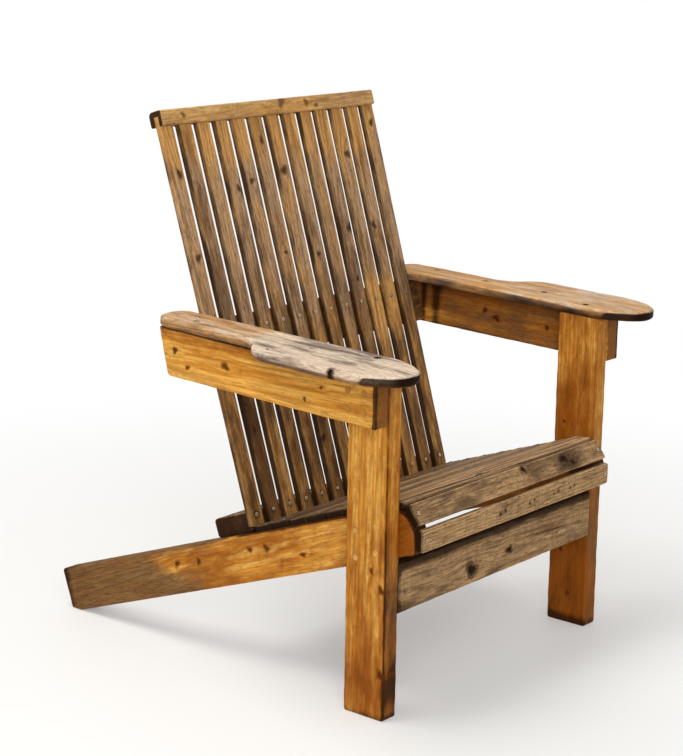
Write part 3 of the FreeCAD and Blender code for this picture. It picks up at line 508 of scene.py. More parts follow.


# Frame boards. Each paint function gives silvering, dirt together with painted shade where noted, and darker tone
# at points a along the board, b across it and c up through its thickness, in millimetres.
legWood = {
    "round": 4.5, "endRound": 3, "corner": 5,
    "right": {"seed": 11, "knots": ((271, 31, 5), (240, 9, 7.5), (86, 8, 8)), "heart": (-44, 62)},
    "left": {"seed": 12, "knots": ((212, 40, 4), (150, 62, 5), (62, 42, 5), (410, 66, 4)), "heart": (10, 30)},
}
for side, sign in sides:
    wood = dict(legWood, **legWood[side])
    edges = rectangle(0, chair["legTop"], 0, wide, legWood["corner"], slantTail=wide * tan(rise))
    place = (fromLegs(sign * chair["legInner"], 0, 0), vec(0, 0, 1), vec(0, 1, 0), sign * leftward)

    def legState(a, b, c):
        front, inside, low = ramp(b, 5, 0), ramp(c, 8, 0), hump(a, 66, 42)
        line = np.exp(-np.hypot(b - 1, c - 37) / 2)      # dark worn line down the outer front edge
        dirtAndShade = 0.5 * ramp(a, 16, 2) + 0.42 * low + 0.8 * line + front * (0.2 + 0.2 * ramp(a, 330, 140))
        if side == "left":      # cleaner, only its foot dirty
            dirtAndShade = 0.6 * ramp(a, 26, 4) + 0.1 * ramp(a, 240, 60) + 0.3 * line + 0.24 * inside
        tone = (0.1 * ramp(a, 500, 240) + 0.08 * ramp(a, 220, 120) + 0.16 * low + 0.27 * inside - 0.05
                + 0.1 * front - 0.17 * inside * ramp(a, 430, 600))
        return 0.4 * front * ramp(a, 440, 220), dirtAndShade, tone

    board(f"leg_{side}", place, edges, wood, "frame", legState)
print("legs made")

armWood = {
    "round": 4.5, "endRound": 2.5, "tail": 15, "tailRound": 7,
    "right": {"seed": 21, "knots": ((462, 38, 6.5), (430, 64, 5), (338, 44, 8), (152, 66, 4), (116, 38, 3.5)),
              "heart": (14, 30)},
    "left": {"seed": 22, "knots": ((261, 50, 8), (139, 47, 5), (290, 38, 6)), "heart": (-12, 30)},
}
armFoot = {side: fromLegs(sign * chair["legOuter"], 0, chair["legTop"]) for side, sign in sides}
armLong = {side: (nodeBox[f"arm_board_{side}"][1][1] / mm + chair["middle"]) / cos(rise) for side, _ in sides}
for side, sign in sides:
    wood = dict(armWood, **armWood[side])
    edges = rectangle(0, armLong[side], 0, wide, 2, slantTop=-wide * tan(rise),
                      slantTail=-wide * tan(radians(wood["tail"])), lastCorner=wood["tailRound"])
    place = (armFoot[side], armAlong, -armUp, sign * leftward)

    def armState(a, b, c):
        # painted shade along the board's top edge, in the crevice under the armrest
        inside, shadeUnderRest = ramp(c, 8, 0), ramp(b, 7, 1)
        line = np.exp(-np.hypot(a, c - 37) / 2)
        frontEdgeShade = ramp(c, 28, 32) * ramp(a, 4, 1)      # painted shade: dark band on the front end, along the rounded outer edge
        leak = inside * (hump(a, 414, 12) + hump(a, 446, 7))      # dark runs beside the rail
        dirtAndShade = 0.8 * shadeUnderRest + 0.22 * inside + 0.5 * line + 0.2 * ramp(b, 80, 88) + 0.75 * frontEdgeShade + 0.7 * leak
        bright = hump(a, 235, 120) * hump(b, 52, 30) * (1 - inside)
        return 0.4 * inside, dirtAndShade, 0.17 * ramp(b, 34, 8) * ramp(a, 130, 260) + 0.24 * inside - 0.07 - 0.16 * bright

    board(f"arm_board_{side}", place, edges, wood, "frame", armState)
print("arm boards made")

# armrest plan, outward sizes from the leg's outer face: wide front with a nose of three arcs, an S-shaped
# step in, a narrow rear part with round corners
rest = {
    "thick": 19, "inner": -41, "drift": 6, "outer": 100, "waist": 42, "reach": 73, "past": 10,
    "tip": 50, "flank": 130, "stepFront": 195, "stepRear": 300, "tail": 29,
    "round": 5.5, "endRound": 5.0, "step": 3.0, "arcExtra": 120,      # arcExtra: what the curved ends add to the path
    "screws": ((42, -19), (160, 12.7), (428.3, 19)),      # along, outward
    "hole": 5, "deep": 5, "shallow": 0.8,
    "right": {"seed": 31, "knots": ((48, 105, 11), (205, 78, 3.5)), "heart": (8, 22), "plugged": (160, 428.3)},
    "left": {"seed": 32, "knots": ((300, 10, 4),), "heart": (-10, 26), "plugged": (428.3,), "wear": 0.3},
}


def arcPoints(middleA, middleB, radius, start, stop):
    places = 40
    turn = np.linspace(start, stop, places)
    return np.stack([middleA + radius * np.cos(turn), middleB + radius * np.sin(turn)], 1)


def restEdges(tailEnd):
    # turns are measured from the rearward direction towards the outside
    tipB = (rest["inner"] + rest["outer"]) / 2
    tipA = rest["tip"] - rest["reach"]
    gap = rest["flank"] - rest["tip"]
    flankLean = acos((rest["flank"] - (rest["outer"] - rest["inner"]) / 2) / gap)
    flankA = tipA + gap * sin(flankLean)
    run, drop = rest["stepRear"] - rest["stepFront"], rest["outer"] - rest["waist"]
    bend = (run ** 2 + drop ** 2) / (4 * drop)
    bendTurn = asin(run / 2 / bend)
    quarter = pi / 2
    innerTail = rest["inner"] + rest["drift"]
    tailB = (innerTail + rest["waist"]) / 2
    outerSide = np.concatenate([
        arcPoints(tipA, tipB, rest["tip"], 2 * quarter, quarter + flankLean),
        arcPoints(flankA, rest["outer"] - rest["flank"], rest["flank"], quarter + flankLean, quarter),
        arcPoints(rest["stepFront"], rest["outer"] - bend, bend, quarter, quarter - bendTurn),
        arcPoints(rest["stepRear"], rest["waist"] + bend, bend, -quarter - bendTurn, -quarter),
        arcPoints(tailEnd - rest["tail"], rest["waist"] - rest["tail"], rest["tail"], quarter, 0),
        [[tailEnd, tailB]]])
    innerSide = np.concatenate([
        arcPoints(tipA, tipB, rest["tip"], -2 * quarter, -quarter - flankLean),
        arcPoints(flankA, rest["inner"] + rest["flank"], rest["flank"], -quarter - flankLean, -quarter),
        arcPoints(tailEnd - rest["tail"], innerTail + rest["tail"], rest["tail"], -quarter, 0),
        [[tailEnd, tailB]]])
    count = round((tailEnd + rest["reach"] + rest["arcExtra"]) / rest["step"])
    return spaced(innerSide, count), spaced(outerSide, count)


def restHoles(side):
    # along, outward, radius and depth, hardly sunk where a plug fills the hole
    return [(at, outward, rest["hole"], rest["shallow" if at in rest[side]["plugged"] else "deep"])
            for at, outward in rest["screws"]]


for side, sign in sides:
    wood = dict(rest, **rest[side])
    wood["holes"] = restHoles(side)
    place = (armFoot[side], armAlong, sign * leftward, armUp)

    def restState(a, b, c):
        front, top = ramp(a, 320, 170), ramp(c, 4, 15)
        nose = ramp(a, -4, -26) * ramp(c, 17, 12)      # black round the nose
        dirtAndShade = 0.22 * ramp(a, 210, 290) * ramp(a, 330, 280) + 0.38 * (1 - top) * front + 1.3 * nose
        for at, outward, radius, depth in wood["holes"]:      # dark rims, fainter round a plug
            dirtAndShade = dirtAndShade + min(0.8, 0.7 * depth) * hump(np.hypot(a - at, b - outward), radius, 3)
        if side == "left":      # tan, with more varnish left, dark sides and a dirty outer rim
            outer = rest["outer"] - (rest["outer"] - rest["waist"]) * ramp(a, rest["stepFront"], rest["stepRear"])
            rim = ramp(outer - b, 9, 2) * ramp(a, -20, 30)
            flank = ramp(c, 17.5, 12)
            return (0.2 + 0.14 * front) * top, dirtAndShade + 0.28 * flank + 0.6 * rim, 0.2 * flank - 0.08
        streaked = ramp(a, 290, 150) * (0.04 + 0.12 * ramp(b, 80, 10)) - 0.14 * ramp(a, 60, 0)
        tail = (1 - top) * (1 - front)
        return (0.36 + 0.54 * front) * top + 0.2 * front, dirtAndShade + 0.2 * tail, streaked + 0.1 * (1 - top) - 0.02

    board(f"armrest_{side}", place, restEdges(armLong[side] + rest["past"]), wood, "rest", restState,
          thick=rest["thick"], step=rest["step"])
print("armrests made")

# stringers: straight boards with a round upper nose, cut level at the heel
stringer = {
    "prowReach": 32, "prowRound": 48, "prowUnder": 8, "heelRound": 6, "round": 4, "endRound": 3,
    "tip": 0.83,      # where on the prow's cut the two edges part, between its roundings
    "edgeStep": 3.6, "step": 3.4, "arcExtra": 150,
    "right": {"seed": 41, "knots": ((579, 31, 7), (520, 34, 6), (381, 29, 6), (338, 32, 7), (252, 55, 5.5)),
              "heart": (4, 30)},
    "left": {"seed": 42, "knots": ((300, 40, 5), (560, 30, 5), (700, 60, 6)), "heart": (-8, 34)},
    # browner or paler clouds: along, down, reach both ways, strength
    "clouds": ((510, 70, 60, 22, 0.16), (605, 40, 40, 14, -0.12), (400, 66, 60, 12, -0.16), (335, 14, 70, 10, 0.15),
               (450, 80, 26, 8, 0.24), (215, 45, 70, 40, -0.08)),
    "lines": (286, 123),      # dark upright marks where other pieces once lay
}


def stringerEdges():
    along = chair["stringerLong"]
    prowTop = -stringer["prowReach"] / cos(slope)
    prowLow = (-stringer["prowReach"] + wide * sin(slope)) / cos(slope)
    floorFront = (chair["seatTop"] - wide * cos(slope)) / sin(slope)
    floorRear = (chair["seatTop"] - along * sin(slope)) / cos(slope)
    tip = (prowTop + (prowLow - prowTop) * stringer["tip"], wide * stringer["tip"])
    tail = (along, floorRear / 2)
    top = rounded([tip, (prowTop, 0), (along, 0), tail], (stringer["prowRound"], stringer["heelRound"]))
    low = rounded([tip, (prowLow, wide), (floorFront, wide), (along, floorRear), tail], (stringer["prowUnder"], 1, 2))
    count = round((along + stringer["arcExtra"]) / stringer["edgeStep"])
    return spaced(top, count), spaced(low, count)


for side, sign in sides:
    wood = dict(stringer, **stringer[side])
    place = (fromLegs(sign * (chair["legInner"] - thick), 0, chair["seatTop"]), seatAlong, -seatUp, sign * leftward)

    def stringerState(a, b, c):
        inside, seated = ramp(c, 8, 0), ramp(a, 440, 390)
        rear, nose, crest = ramp(a, 480, 900), ramp(a, 70, 25), ramp(b, 6, 1)
        cloud = sum(more * hump(a, at, long) * hump(b, down, tall) for at, down, long, tall, more in stringer["clouds"])
        line = sum(hump(a - b * tan(slope), at, 6) for at in stringer["lines"])
        # toward the nose, and over its outer edge, the darkening is stain together with painted shade
        dirtAndShade = (0.3 * rear + 0.2 * inside + 0.26 * nose + 0.6 * nose * ramp(c, 38, 37) + 0.4 * ramp(a, 890, 908)
                + crest * (0.15 + 0.8 * seated) + 0.34 * line + 0.8 * np.maximum(cloud, 0))
        aged = 0.9 * ramp(a, 330, 900) + 0.3 * ramp(a, 440, 560) * ramp(b, 35, 80) + 0.5 * crest * (1 - seated)
        return aged, dirtAndShade, 0.5 * nose + 0.05 + 0.1 * ramp(a, 420, 760) + 0.2 * inside + cloud

    board(f"stringer_{side}", place, stringerEdges(), wood, "frame", stringerState, step=stringer["step"])
print("stringers made")

apron = {"round": 3.5, "endRound": 1, "seed": 51, "knots": ((214, 62, 15), (332, 52, 8)), "heart": (30, 26)}
lowest, highest = nodeBox["front_apron"] / mm
place = (vec(lowest[0], lowest[1], highest[2]) * mm, leftward, vec(0, 0, -1), vec(0, 1, 0))


def apronState(a, b, c):
    # darker along the top is painted shade under the front seat slat; the other terms are dirt
    dirtAndShade = 0.1 + 0.8 * ramp(b, 24, 3) + 0.5 * ramp(a, 230, 70) * ramp(b, 56, 82) + 0.5 * ramp(a, 12, 0)
    return 0.5, dirtAndShade, 0.02 + 0.03 * ramp(a, 300, 0)


# the face drawn as the upper one looks forward, so the thickness is turned round
board("front_apron", place, rectangle(0, highest[0] - lowest[0], 0, wide, 1), apron, "seat", apronState,
      fix=lambda local: local * (1, 1, -1) + (0, 0, thick))
print("apron made")

# seat
seat = {
    "long": 588, "wide": 40, "thick": 11, "round": 1.8, "endRound": 2, "corner": 5, "flat": 7,
    "start": 18.4, "clear": 2, "step": 3.6,
    "nose": ((-90.0, -2), (-51.4, 9), (6.5, -3)),      # lean and slide of the three slats round the nose
    "backThick": 11,
    "nails": (240, 332, 411, 465), "nailPair": (-7, 7),      # pairs of old nail holes along the front slat
    "nailHole": (2.6, 2.2),      # radius and depth
    "knots": {1: (), 2: ((335, 32, 7), (462, 26, 9), (484, 14, 5))},
    "clouds": {1: ((530, 50, 0.22), (255, 60, 0.12)), 2: ((150, 110, 0.2), (478, 40, 0.4), (365, 22, 0.3))},
    "weather": (0.66, 0.58, 0.0, 0.62, 0.3, 0.55, 0.2, 0.45, 0.2, 0.3),
    "shade": (-0.1, 0.03, -0.2, 0.0, 0.1, 0.02, 0.1, 0.0, 0.1, 0.1),
}
prowRound = stringer["prowRound"]
prowY = prowRound - stringer["prowReach"]
prowZ = chair["seatTop"] - prowY * tan(slope) - prowRound / cos(slope)
seatPlaces = []     # middle of the underside (y, z) and lean
for turnDeg, slide in seat["nose"]:
    turn = radians(turnDeg)
    seatPlaces.append((prowY + prowRound * sin(turn) + slide * cos(turn),
                       prowZ + prowRound * cos(turn) - slide * sin(turn), turn))
skew = slope - lean
firstFlat = prowY / cos(slope) + prowRound * tan(slope) + seat["start"] + seat["wide"] / 2
lastFlat = (chair["backSet"] - seat["backThick"] / cos(skew) - seat["thick"] * tan(skew)
            - seat["clear"] - seat["wide"] / 2)
for along in np.linspace(firstFlat, lastFlat, seat["flat"]):
    seatPlaces.append((along * cos(slope), chair["seatTop"] - along * sin(slope), slope))
for number, (y, z, turn) in enumerate(seatPlaces, start=1):
    rng = np.random.default_rng(600 + number)
    knots = [(rng.uniform(60, 530), rng.uniform(4, 36), rng.uniform(2.5, 6)) for _ in range(rng.integers(1, 4))]
    wood = dict(seat, seed=60 + number, knots=seat["knots"].get(number, knots),
                heart=(rng.choice((-1, 1)) * rng.uniform(30, 60), rng.uniform(15, 45)))
    if number == 1:
        wood["holes"] = [(at + shift, seat["wide"] / 2 + shift / 4, *seat["nailHole"])
                         for at in seat["nails"] for shift in seat["nailPair"]]
    across = vec(0, cos(turn), -sin(turn))
    origin = fromLegs(-seat["long"] / 2, y, z) - across * seat["wide"] / 2 * mm
    place = (origin, leftward, across, vec(0, sin(turn), cos(turn)))

    def slatState(a, b, c):
        gap = ramp(np.minimum(b, seat["wide"] - b), 4, 0.5) if number > 3 else 0      # painted shade along the gaps between the slats
        cloud = sum(more * hump(a, at, reach) for at, reach, more in seat["clouds"].get(number, ()))
        dirtAndShade = 0.1 + 0.4 * ramp(c, 8, 2) + 0.6 * ramp(a, 9, 2) + 0.5 * gap + cloud
        for at, side, _, _ in wood.get("holes", ()):      # rust round the nails
            dirtAndShade = dirtAndShade + 0.4 * hump(np.hypot(a - at, b - side), 0, 6)
        return seat["weather"][number - 1], dirtAndShade, seat["shade"][number - 1] + 0.5 * cloud

    edges = rectangle(0, seat["long"], 0, seat["wide"], seat["corner"], step=seat["step"])
    board(f"seat_slat_{number:02d}", place, edges, wood, "seat", slatState, thick=seat["thick"], step=seat["step"])
print("seat made")

# back
back = {
    "slats": 13, "wide": 33, "thick": 11, "long": 777, "lift": 3, "foot": 589, "head": 611.5, "trim": 8,
    "round": 0.8, "endRound": 0.8, "step": 3.6, "lowScrew": 28,
    "knots": {0: ((667, 22, 7), (510, 20, 7)), 1: ((180, 15, 6), (229, 6, 4)), 3: ((626, 24, 6),),
              4: ((637, 16, 6), (330, 20, 5)), 5: ((711, 19, 6), (492, 18, 4), (129, 8, 7)), 6: ((648, 16, 9),),
              7: ((477, 15, 5),), 9: ((518, 28, 8), (415, 20, 4)), 10: ((664, 20, 8),), 11: ((515, 8, 7),),
              12: ((721, 18, 6),)},      # up the slat, across it, radius
    "dark": {0: (667, 505), 1: (505,), 3: (620,), 4: (637, 300), 6: (645,), 7: (480,), 9: (520,), 12: (640,)},
}
share = (np.arange(back["slats"]) - (back["slats"] - 1) / 2) / (back["slats"] - 1)
footX = share * (back["foot"] - back["wide"])
headX = share * (back["head"] - back["wide"])
for number in range(back["slats"]):
    wood = dict(back, seed=70 + number, knots=back["knots"].get(number, ()))
    shade = np.random.default_rng(700 + number).uniform(-0.1, 0.1)
    spread = (headX[number] - footX[number]) / back["long"]
    place = (backFoot + backUp * back["lift"] * mm + vec(footX[number] - back["wide"] / 2, 0, 0) * mm,
             backUp, leftward, backOut)

    def backState(a, b, c):
        low, bare = ramp(a, 450, 250), 0
        if number in (10, 11):
            bare = ramp(a, 260, 320) * ramp(a, 440, 380)      # rubbed back to orange beside the rail
        patch = sum(hump(a, at, 34) for at in back["dark"].get(number, ()))
        wall = ramp(np.minimum(b, back["wide"] - b), 1.6, 0.5)      # painted shade on the sides between slats, weaker on the outermost slat
        rust = hump(np.hypot(a - back["lowScrew"], b - back["wide"] / 2), 0, 7)      # dark ring round the low screw
        dirtAndShade = 0.3 * low + (0.58 if number else 0.12) * wall + 0.3 * ramp(c, 6, 1) - 0.3 * bare + 0.26 * patch
        dirtAndShade = dirtAndShade + (0.7 if number < 3 else 0.4) * rust
        aged = 0.56 * ramp(a, 780, 620) * ramp(a, 120, 420) * (1 - bare) - 0.1 * wall
        return aged, dirtAndShade, shade + 0.1 * ramp(a, 640, 380) - 0.1 * ramp(a, 600, 740) - 0.2 * bare

    edges = rectangle(back["trim"], back["long"], 0, back["wide"], 1, step=back["step"])
    board(f"back_slat_{number + 1:02d}", place, edges, wood, "back", backState, thick=back["thick"], step=back["step"],
          fix=lambda local: local + local[:, :1] * (0, spread, 0))      # the fan: leaning outwards up the slat
print("back slats made")

rails = {"round": 4, "endRound": 2, "corner": 1.5, "step": 4,
         "mid": {"seed": 91, "knots": ((200, 40, 6), (470, 30, 5))},
         "low": {"seed": 92, "knots": ((150, 40, 6), (420, 50, 5)), "round": 6.5, "section": 9}}


def railState(a, b, c):
    return 0, 0.5, 0.16


def worn(local):
    # the section's corners rounded right to the ends: points past the rounded rectangle are drawn in to it
    radius, half = rails["low"]["section"], np.array([wide, thick]) / 2
    flat = local[:, 1:] - half
    over = np.maximum(np.abs(flat) - (half - radius), 0)
    far = np.maximum(np.linalg.norm(over, axis=1), radius)[:, None]
    return np.hstack([local[:, :1], local[:, 1:] - np.sign(flat) * over * (1 - radius / far)])


midLong, lowLong = 2 * chair["legOuter"], np.ptp(nodeBox["low_rail"][:, 0]) / mm
midFoot = backFoot + backUp * (chair["railTop"] - wide) * mm
for name, long, foot, across, out, fix in (("mid", midLong, midFoot, backUp, -backOut, None),
                                           ("low", lowLong, backFoot, seatAlong, seatUp, worn)):
    edges = rectangle(0, long, 0, wide, rails["corner"], step=rails["step"])
    place = (foot - leftward * long / 2 * mm, leftward, across, out)
    board(f"{name}_rail", place, edges, dict(rails, **rails[name]), "back", railState, step=rails["step"], fix=fix)
print("rails made")

# cap
cap = {
    "long": 612, "front": 8, "rear": 12, "over": 9.5, "groove": 20, "slack": 0.4, "rearRound": 9, "ease": 3.5,
    "endEase": 2.4, "seed": 101, "step": 3.2,
    "knots": ((58, 14, 5), (330, 8, 9), (402, 12, 6), (430, 20, 5)),
}
grooveFront, grooveRear = -back["thick"] - cap["slack"] / 2, cap["slack"] / 2
capFront, capRear = grooveFront - cap["front"], grooveRear + cap["rear"]
grooveTop = back["lift"] + back["long"] + cap["slack"]
capFoot, capTop = grooveTop - cap["groove"], grooveTop + cap["over"]


def capSurface():
    # A channel section carried along X: the outer path over the top and the groove's path back, with the
    # outer path drawn in at both ends, and each end closed by a ribbon between the two paths.
    turns = 60
    outer = spaced(rounded([(grooveFront, capFoot), (capFront, capFoot), (capFront, capTop), (capRear, capTop),
                            (capRear, capFoot), (grooveRear, capFoot)],
                           (cap["ease"], cap["ease"], cap["rearRound"], cap["ease"])), turns)
    inner = spaced(np.array([(grooveFront, capFoot), (grooveFront, grooveTop), (grooveRear, grooveTop),
                             (grooveRear, capFoot)], float), turns)
    tangent = np.gradient(outer, axis=0)
    normal = np.stack([-tangent[:, 1], tangent[:, 0]], 1) / np.linalg.norm(tangent, axis=1)[:, None]
    normal *= np.sign(np.sum(normal * (outer - outer.mean(0)), axis=1).sum())
    normal[[0, -1]] = 0
    bend = np.radians(np.linspace(0, 90, 5))
    half = cap["long"] / 2
    lead = -half + cap["endEase"] * (1 - np.cos(bend))
    between = np.linspace(lead[-1], -lead[-1], round(cap["long"] / cap["step"]))[1:-1]
    x = np.concatenate([lead, between, -lead[::-1]])
    draw = cap["endEase"] * np.concatenate([1 - np.sin(bend), 0 * between, (1 - np.sin(bend))[::-1]])
    endness = np.concatenate([np.cos(bend), 0 * between, np.cos(bend)[::-1]])
    inside = np.broadcast_to(inner[::-1], (len(x),) + inner.shape)
    loop = np.concatenate([outer[None] - draw[:, None, None] * normal, inside], 1)
    wall = np.concatenate([np.broadcast_to(x[:, None, None], loop.shape[:2] + (1,)), loop], 2)
    rows, cols = wall.shape[:2]
    index = np.arange(rows * cols).reshape(rows, cols)
    faces = [quadGrid(index)]
    points, ends = [wall.reshape(-1, 3)], [np.repeat(endness, cols)]
    lines = 5      # across an end's ribbon
    across = np.linspace(0, 1, lines)[:, None, None]
    base = rows * cols
    for row, flip in ((0, 1), (-1, -1)):
        start, stop = wall[row, :turns + 1], wall[row, turns + 1:][::-1]
        ribbon = start * (1 - across) + stop * across
        index = base + np.arange(lines * (turns + 1)).reshape(lines, turns + 1)
        quads = np.stack([index[:-1, :-1], index[:-1, 1:], index[1:, 1:], index[1:, :-1]], -1).reshape(-1, 4)
        faces.append(quads[:, ::flip])
        points.append(ribbon.reshape(-1, 3))
        ends.append(np.ones(index.size))
        base += index.size
    return np.concatenate(points), np.concatenate(faces), np.concatenate(ends)


local, faces, ends = capSurface()
corners = np.array([(capFront, capFoot), (capFront, capTop), (capRear, capTop), (capRear, capFoot)])
edge = np.min(np.linalg.norm(local[:, None, 1:] - corners, axis=2), axis=1)
hair, unrubbed = 0.1, 20
inGroove = (local[:, 1] < grooveRear + hair) & (local[:, 1] > grooveFront - hair) & (local[:, 2] < grooveTop + hair)
edge = np.where(inGroove, unrubbed, edge)
flat = np.stack([local[:, 0] + cap["long"] / 2, capTop - local[:, 2], local[:, 1]], 1)


def capState(a, b, c):
    return 0.36 + 0.1 * ramp(c, -19, -8), 0.3 * ramp(c, -18, -8) * ramp(b, 8, 20), 0


marks = grainMarks(flat, edge, ends, cap, capState)
points = backFoot + (local[:, :1] * leftward + local[:, 2:] * backUp - local[:, 1:2] * backOut) * mm
piece = makePiece("top_cap_strip", points, faces, pine["cap"], "top_cap", marks)
joined = bmesh.new()
joined.from_mesh(piece.data)
bmesh.ops.remove_doubles(joined, verts=joined.verts, dist=1e-6)
bmesh.ops.recalc_face_normals(joined, faces=joined.faces)
joined.to_mesh(piece.data)
joined.free()
print("cap made")

# fastenings
screw = {"head": 4.4, "rise": 1.8, "recess": 0.7, "slotWide": 0.55, "slotLong": 2.5, "round": 1.08, "skirt": -0.4,
         "midDrop": 26, "lowDrop": 7}      # drops: below the rails' upper sides
plug = {
    "radius": 6, "rise": 0.35,
    "leg": ((22, 26), (22, 74), (67, 26), (67, 74)),      # behind the leg's front face, below the stringer's top
    "arm": ((23, 30), (23, 63), (58, 30), (58, 63)),      # likewise below the arm board's top
    "low": (40, 70), "lowInset": 12,      # along the low rail's width, in from the stringer's middle
}
flipped = [0, 3, 2, 1]      # a quad's corners the other way round


def turned(node, spots, axes, seed, tone=0.0, *, radii, heights, crossed, material, slotName, ending):
    # Heads turned round an axis: height is a function of radius, less a crossed recess where asked.
    # One polar grid serves every spot, placed by its own axis and a random turn.
    rng = np.random.default_rng(seed)
    count, rows = 32, len(radii)
    turn = np.arange(count) / count * 2 * pi
    x, y = radii[:, None] * np.cos(turn), radii[:, None] * np.sin(turn)
    z = np.broadcast_to(heights[:, None], x.shape).copy()
    rim = np.broadcast_to((radii / radii.max())[:, None] ** 6, x.shape)
    if crossed:
        cut = (np.minimum(np.abs(x), np.abs(y)) < screw["slotWide"]) & (np.hypot(x, y) < screw["slotLong"])
        cut[-3:] = False      # the rim stays whole
        z -= screw["recess"] * cut
        rim = np.maximum(rim, 0.8 * cut)
    # the middle and the underside are closed by fans
    index, hub = np.arange(rows * count).reshape(rows, count), rows * count
    quads = np.concatenate([quadGrid(index)[:, flipped], fan(hub, index[0]), fan(hub + 1, index[-1])[:, flipped]])
    grid = np.concatenate([np.stack([x, y, z], -1).reshape(-1, 3), [[0, 0, z[0].mean()], [0, 0, heights[-1]]]])
    points, grain = [], []
    for spot, axis in zip(spots, axes):
        axis = axis / np.linalg.norm(axis)
        first = np.cross(axis, vec(0, 0, 1) if abs(axis[2]) < 0.9 else vec(0, 1, 0))
        first /= np.linalg.norm(first)
        second = np.cross(axis, first)
        twist = rng.uniform(0, anyTurn)
        spun = np.stack([first * cos(twist) + second * sin(twist),
                         second * cos(twist) - first * sin(twist), axis])
        points.append(spot + (grid @ spun) * mm)
        grain.append(grid[:, [2, 0, 1]] + rng.uniform(-8, 8, 3) * (20, 1, 1))
    faces = np.concatenate([quads + number * len(grid) for number in range(len(spots))])
    # the outer rim darkened: rust on the screw heads; on the plugs dirt with painted shade of the gap round them
    dark = np.tile(np.concatenate([rim.ravel(), [rim[0].mean(), 1]]), len(spots))
    none = 0 * dark
    marks = {"grain": np.concatenate(grain), "marks": np.stack([0.9 * dark if crossed else none, none, none], 1),
             "state": np.stack([none, 0.7 * dark ** 2, none + tone], 1)}
    return makePiece(node + ending, np.concatenate(points), faces, material, node, marks)


screwRadii = np.concatenate([[0.3, 0.6, 0.9, 1.3, 1.8, 2.3, 2.6], np.linspace(2.9, screw["head"], 5), [screw["head"]]])
domed = screw["rise"] * np.sqrt(np.clip(1 - (screwRadii / (screw["head"] * screw["round"])) ** 2, 0, 1))
screwHeads = partial(turned, radii=screwRadii, heights=np.concatenate([domed[:-1], [screw["skirt"]]]), crossed=True,
                     material=zincScrew, slotName="screw_steel", ending="_heads")
plugRadii = np.array([1.5, 3, 4.3, 5.0, plug["radius"] - 0.5, plug["radius"] - 0.2, plug["radius"], plug["radius"]])
plugHeights = np.array([0, 0, -0.02, -0.04, -0.08, -0.15, -0.28, -0.8]) + plug["rise"]
plugEnds = partial(turned, radii=plugRadii, heights=plugHeights, crossed=False, material=pine["plug"],
                   slotName="dowel_wood", ending="_ends")

for name, height in (("mid_rail_screws", chair["railTop"] - screw["midDrop"]),
                     ("low_rail_screws", thick - screw["lowDrop"])):
    x = footX + (headX - footX) * (height - back["lift"]) / back["long"]
    spots = backFoot + backUp * height * mm + backOut * back["thick"] * mm + x[:, None] * leftward * mm
    screwHeads(name, spots, [backOut] * len(spots), 22)
seatAxes = [vec(0, sin(turn), cos(turn)) for _, _, turn in seatPlaces for _ in sides]
seatSpots = [fromLegs(sign * (chair["legInner"] - thick / 2), y, z) for y, z, _ in seatPlaces for _, sign in sides]
screwHeads("seat_screws", np.array(seatSpots) + np.array(seatAxes) * seat["thick"] * mm, seatAxes, 23)
restSpots = [armFoot[side] + sign * leftward * outward * mm + armAlong * at * mm + armUp * (rest["thick"] - depth) * mm
             for side, sign in sides for at, outward, _, depth in restHoles(side) if depth == rest["deep"]]
screwHeads("armrest_screws", restSpots, [armUp] * len(restSpots), 29)

armFace = chair["legOuter"] + thick
railMiddle = backFoot + backUp * (chair["railTop"] - wide / 2) * mm - backOut * thick / 2 * mm
legSpots = [fromLegs(sign * chair["legOuter"], y, chair["seatTop"] - y * tan(slope) - drop)
            for _, sign in sides for y, drop in plug["leg"]]
frontSpots = [fromLegs(sign * armFace, y, chair["legTop"] + y * tan(rise) - drop)
              for _, sign in sides for y, drop in plug["arm"]]
rearSpots = [railMiddle + vec(sign * armFace, 0, 0) * mm for _, sign in sides]
for name, spots, seed, tone in (("leg_dowels", legSpots, 31, 0.0), ("arm_front_dowels", frontSpots, 37, 0.2),
                                ("arm_rear_dowels", rearSpots, 41, 0.0)):
    plugEnds(name, spots, [leftward * spot for spot in spots], seed, tone)
lowSpots = [backFoot + seatAlong * at * mm + seatUp * thick * mm
            + vec(sign * (chair["legInner"] - thick / 2 - plug["lowInset"] + plug["radius"]), 0, 0) * mm
            for _, sign in sides for at in plug["low"]]
plugEnds("low_rail_dowels", lowSpots, [seatUp] * len(lowSpots), 43)
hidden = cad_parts["apron_dowels"]
hidden.data.materials.clear()
hidden.data.materials.append(pine["plug"])
print("fastenings made")

# stage
stage = {"size": 12, "colour": "#F3F1EC", "fade": (0.45, 2.0), "least": 0.28, "sky": 0.42}      # metres
cells = 4
gx, gy = np.meshgrid(*[np.linspace(-stage["size"], stage["size"], cells + 1)] * 2)
floorMesh = bpy.data.meshes.new("floor")
corner = np.arange(cells * cells).reshape(cells, cells) + np.arange(cells)[:, None]
quads = np.stack([corner, corner + 1, corner + cells + 2, corner + cells + 1], -1).reshape(-1, 4)
floorMesh.from_pydata(np.stack([gx, gy, 0 * gx], -1).reshape(-1, 3).tolist(), [], quads.tolist())


def eyeRays(add):
    # 1 for what the eye sees straight, in a mirror or through glass, 0 for the light on the chair
    rays = add("LightPath").node.outputs
    direct = add("Math", {0: rays["Is Camera Ray"], 1: rays["Is Glossy Ray"]}, operation="MAXIMUM")
    return add("Math", {0: direct, 1: rays["Is Transmission Ray"]}, operation="MAXIMUM")


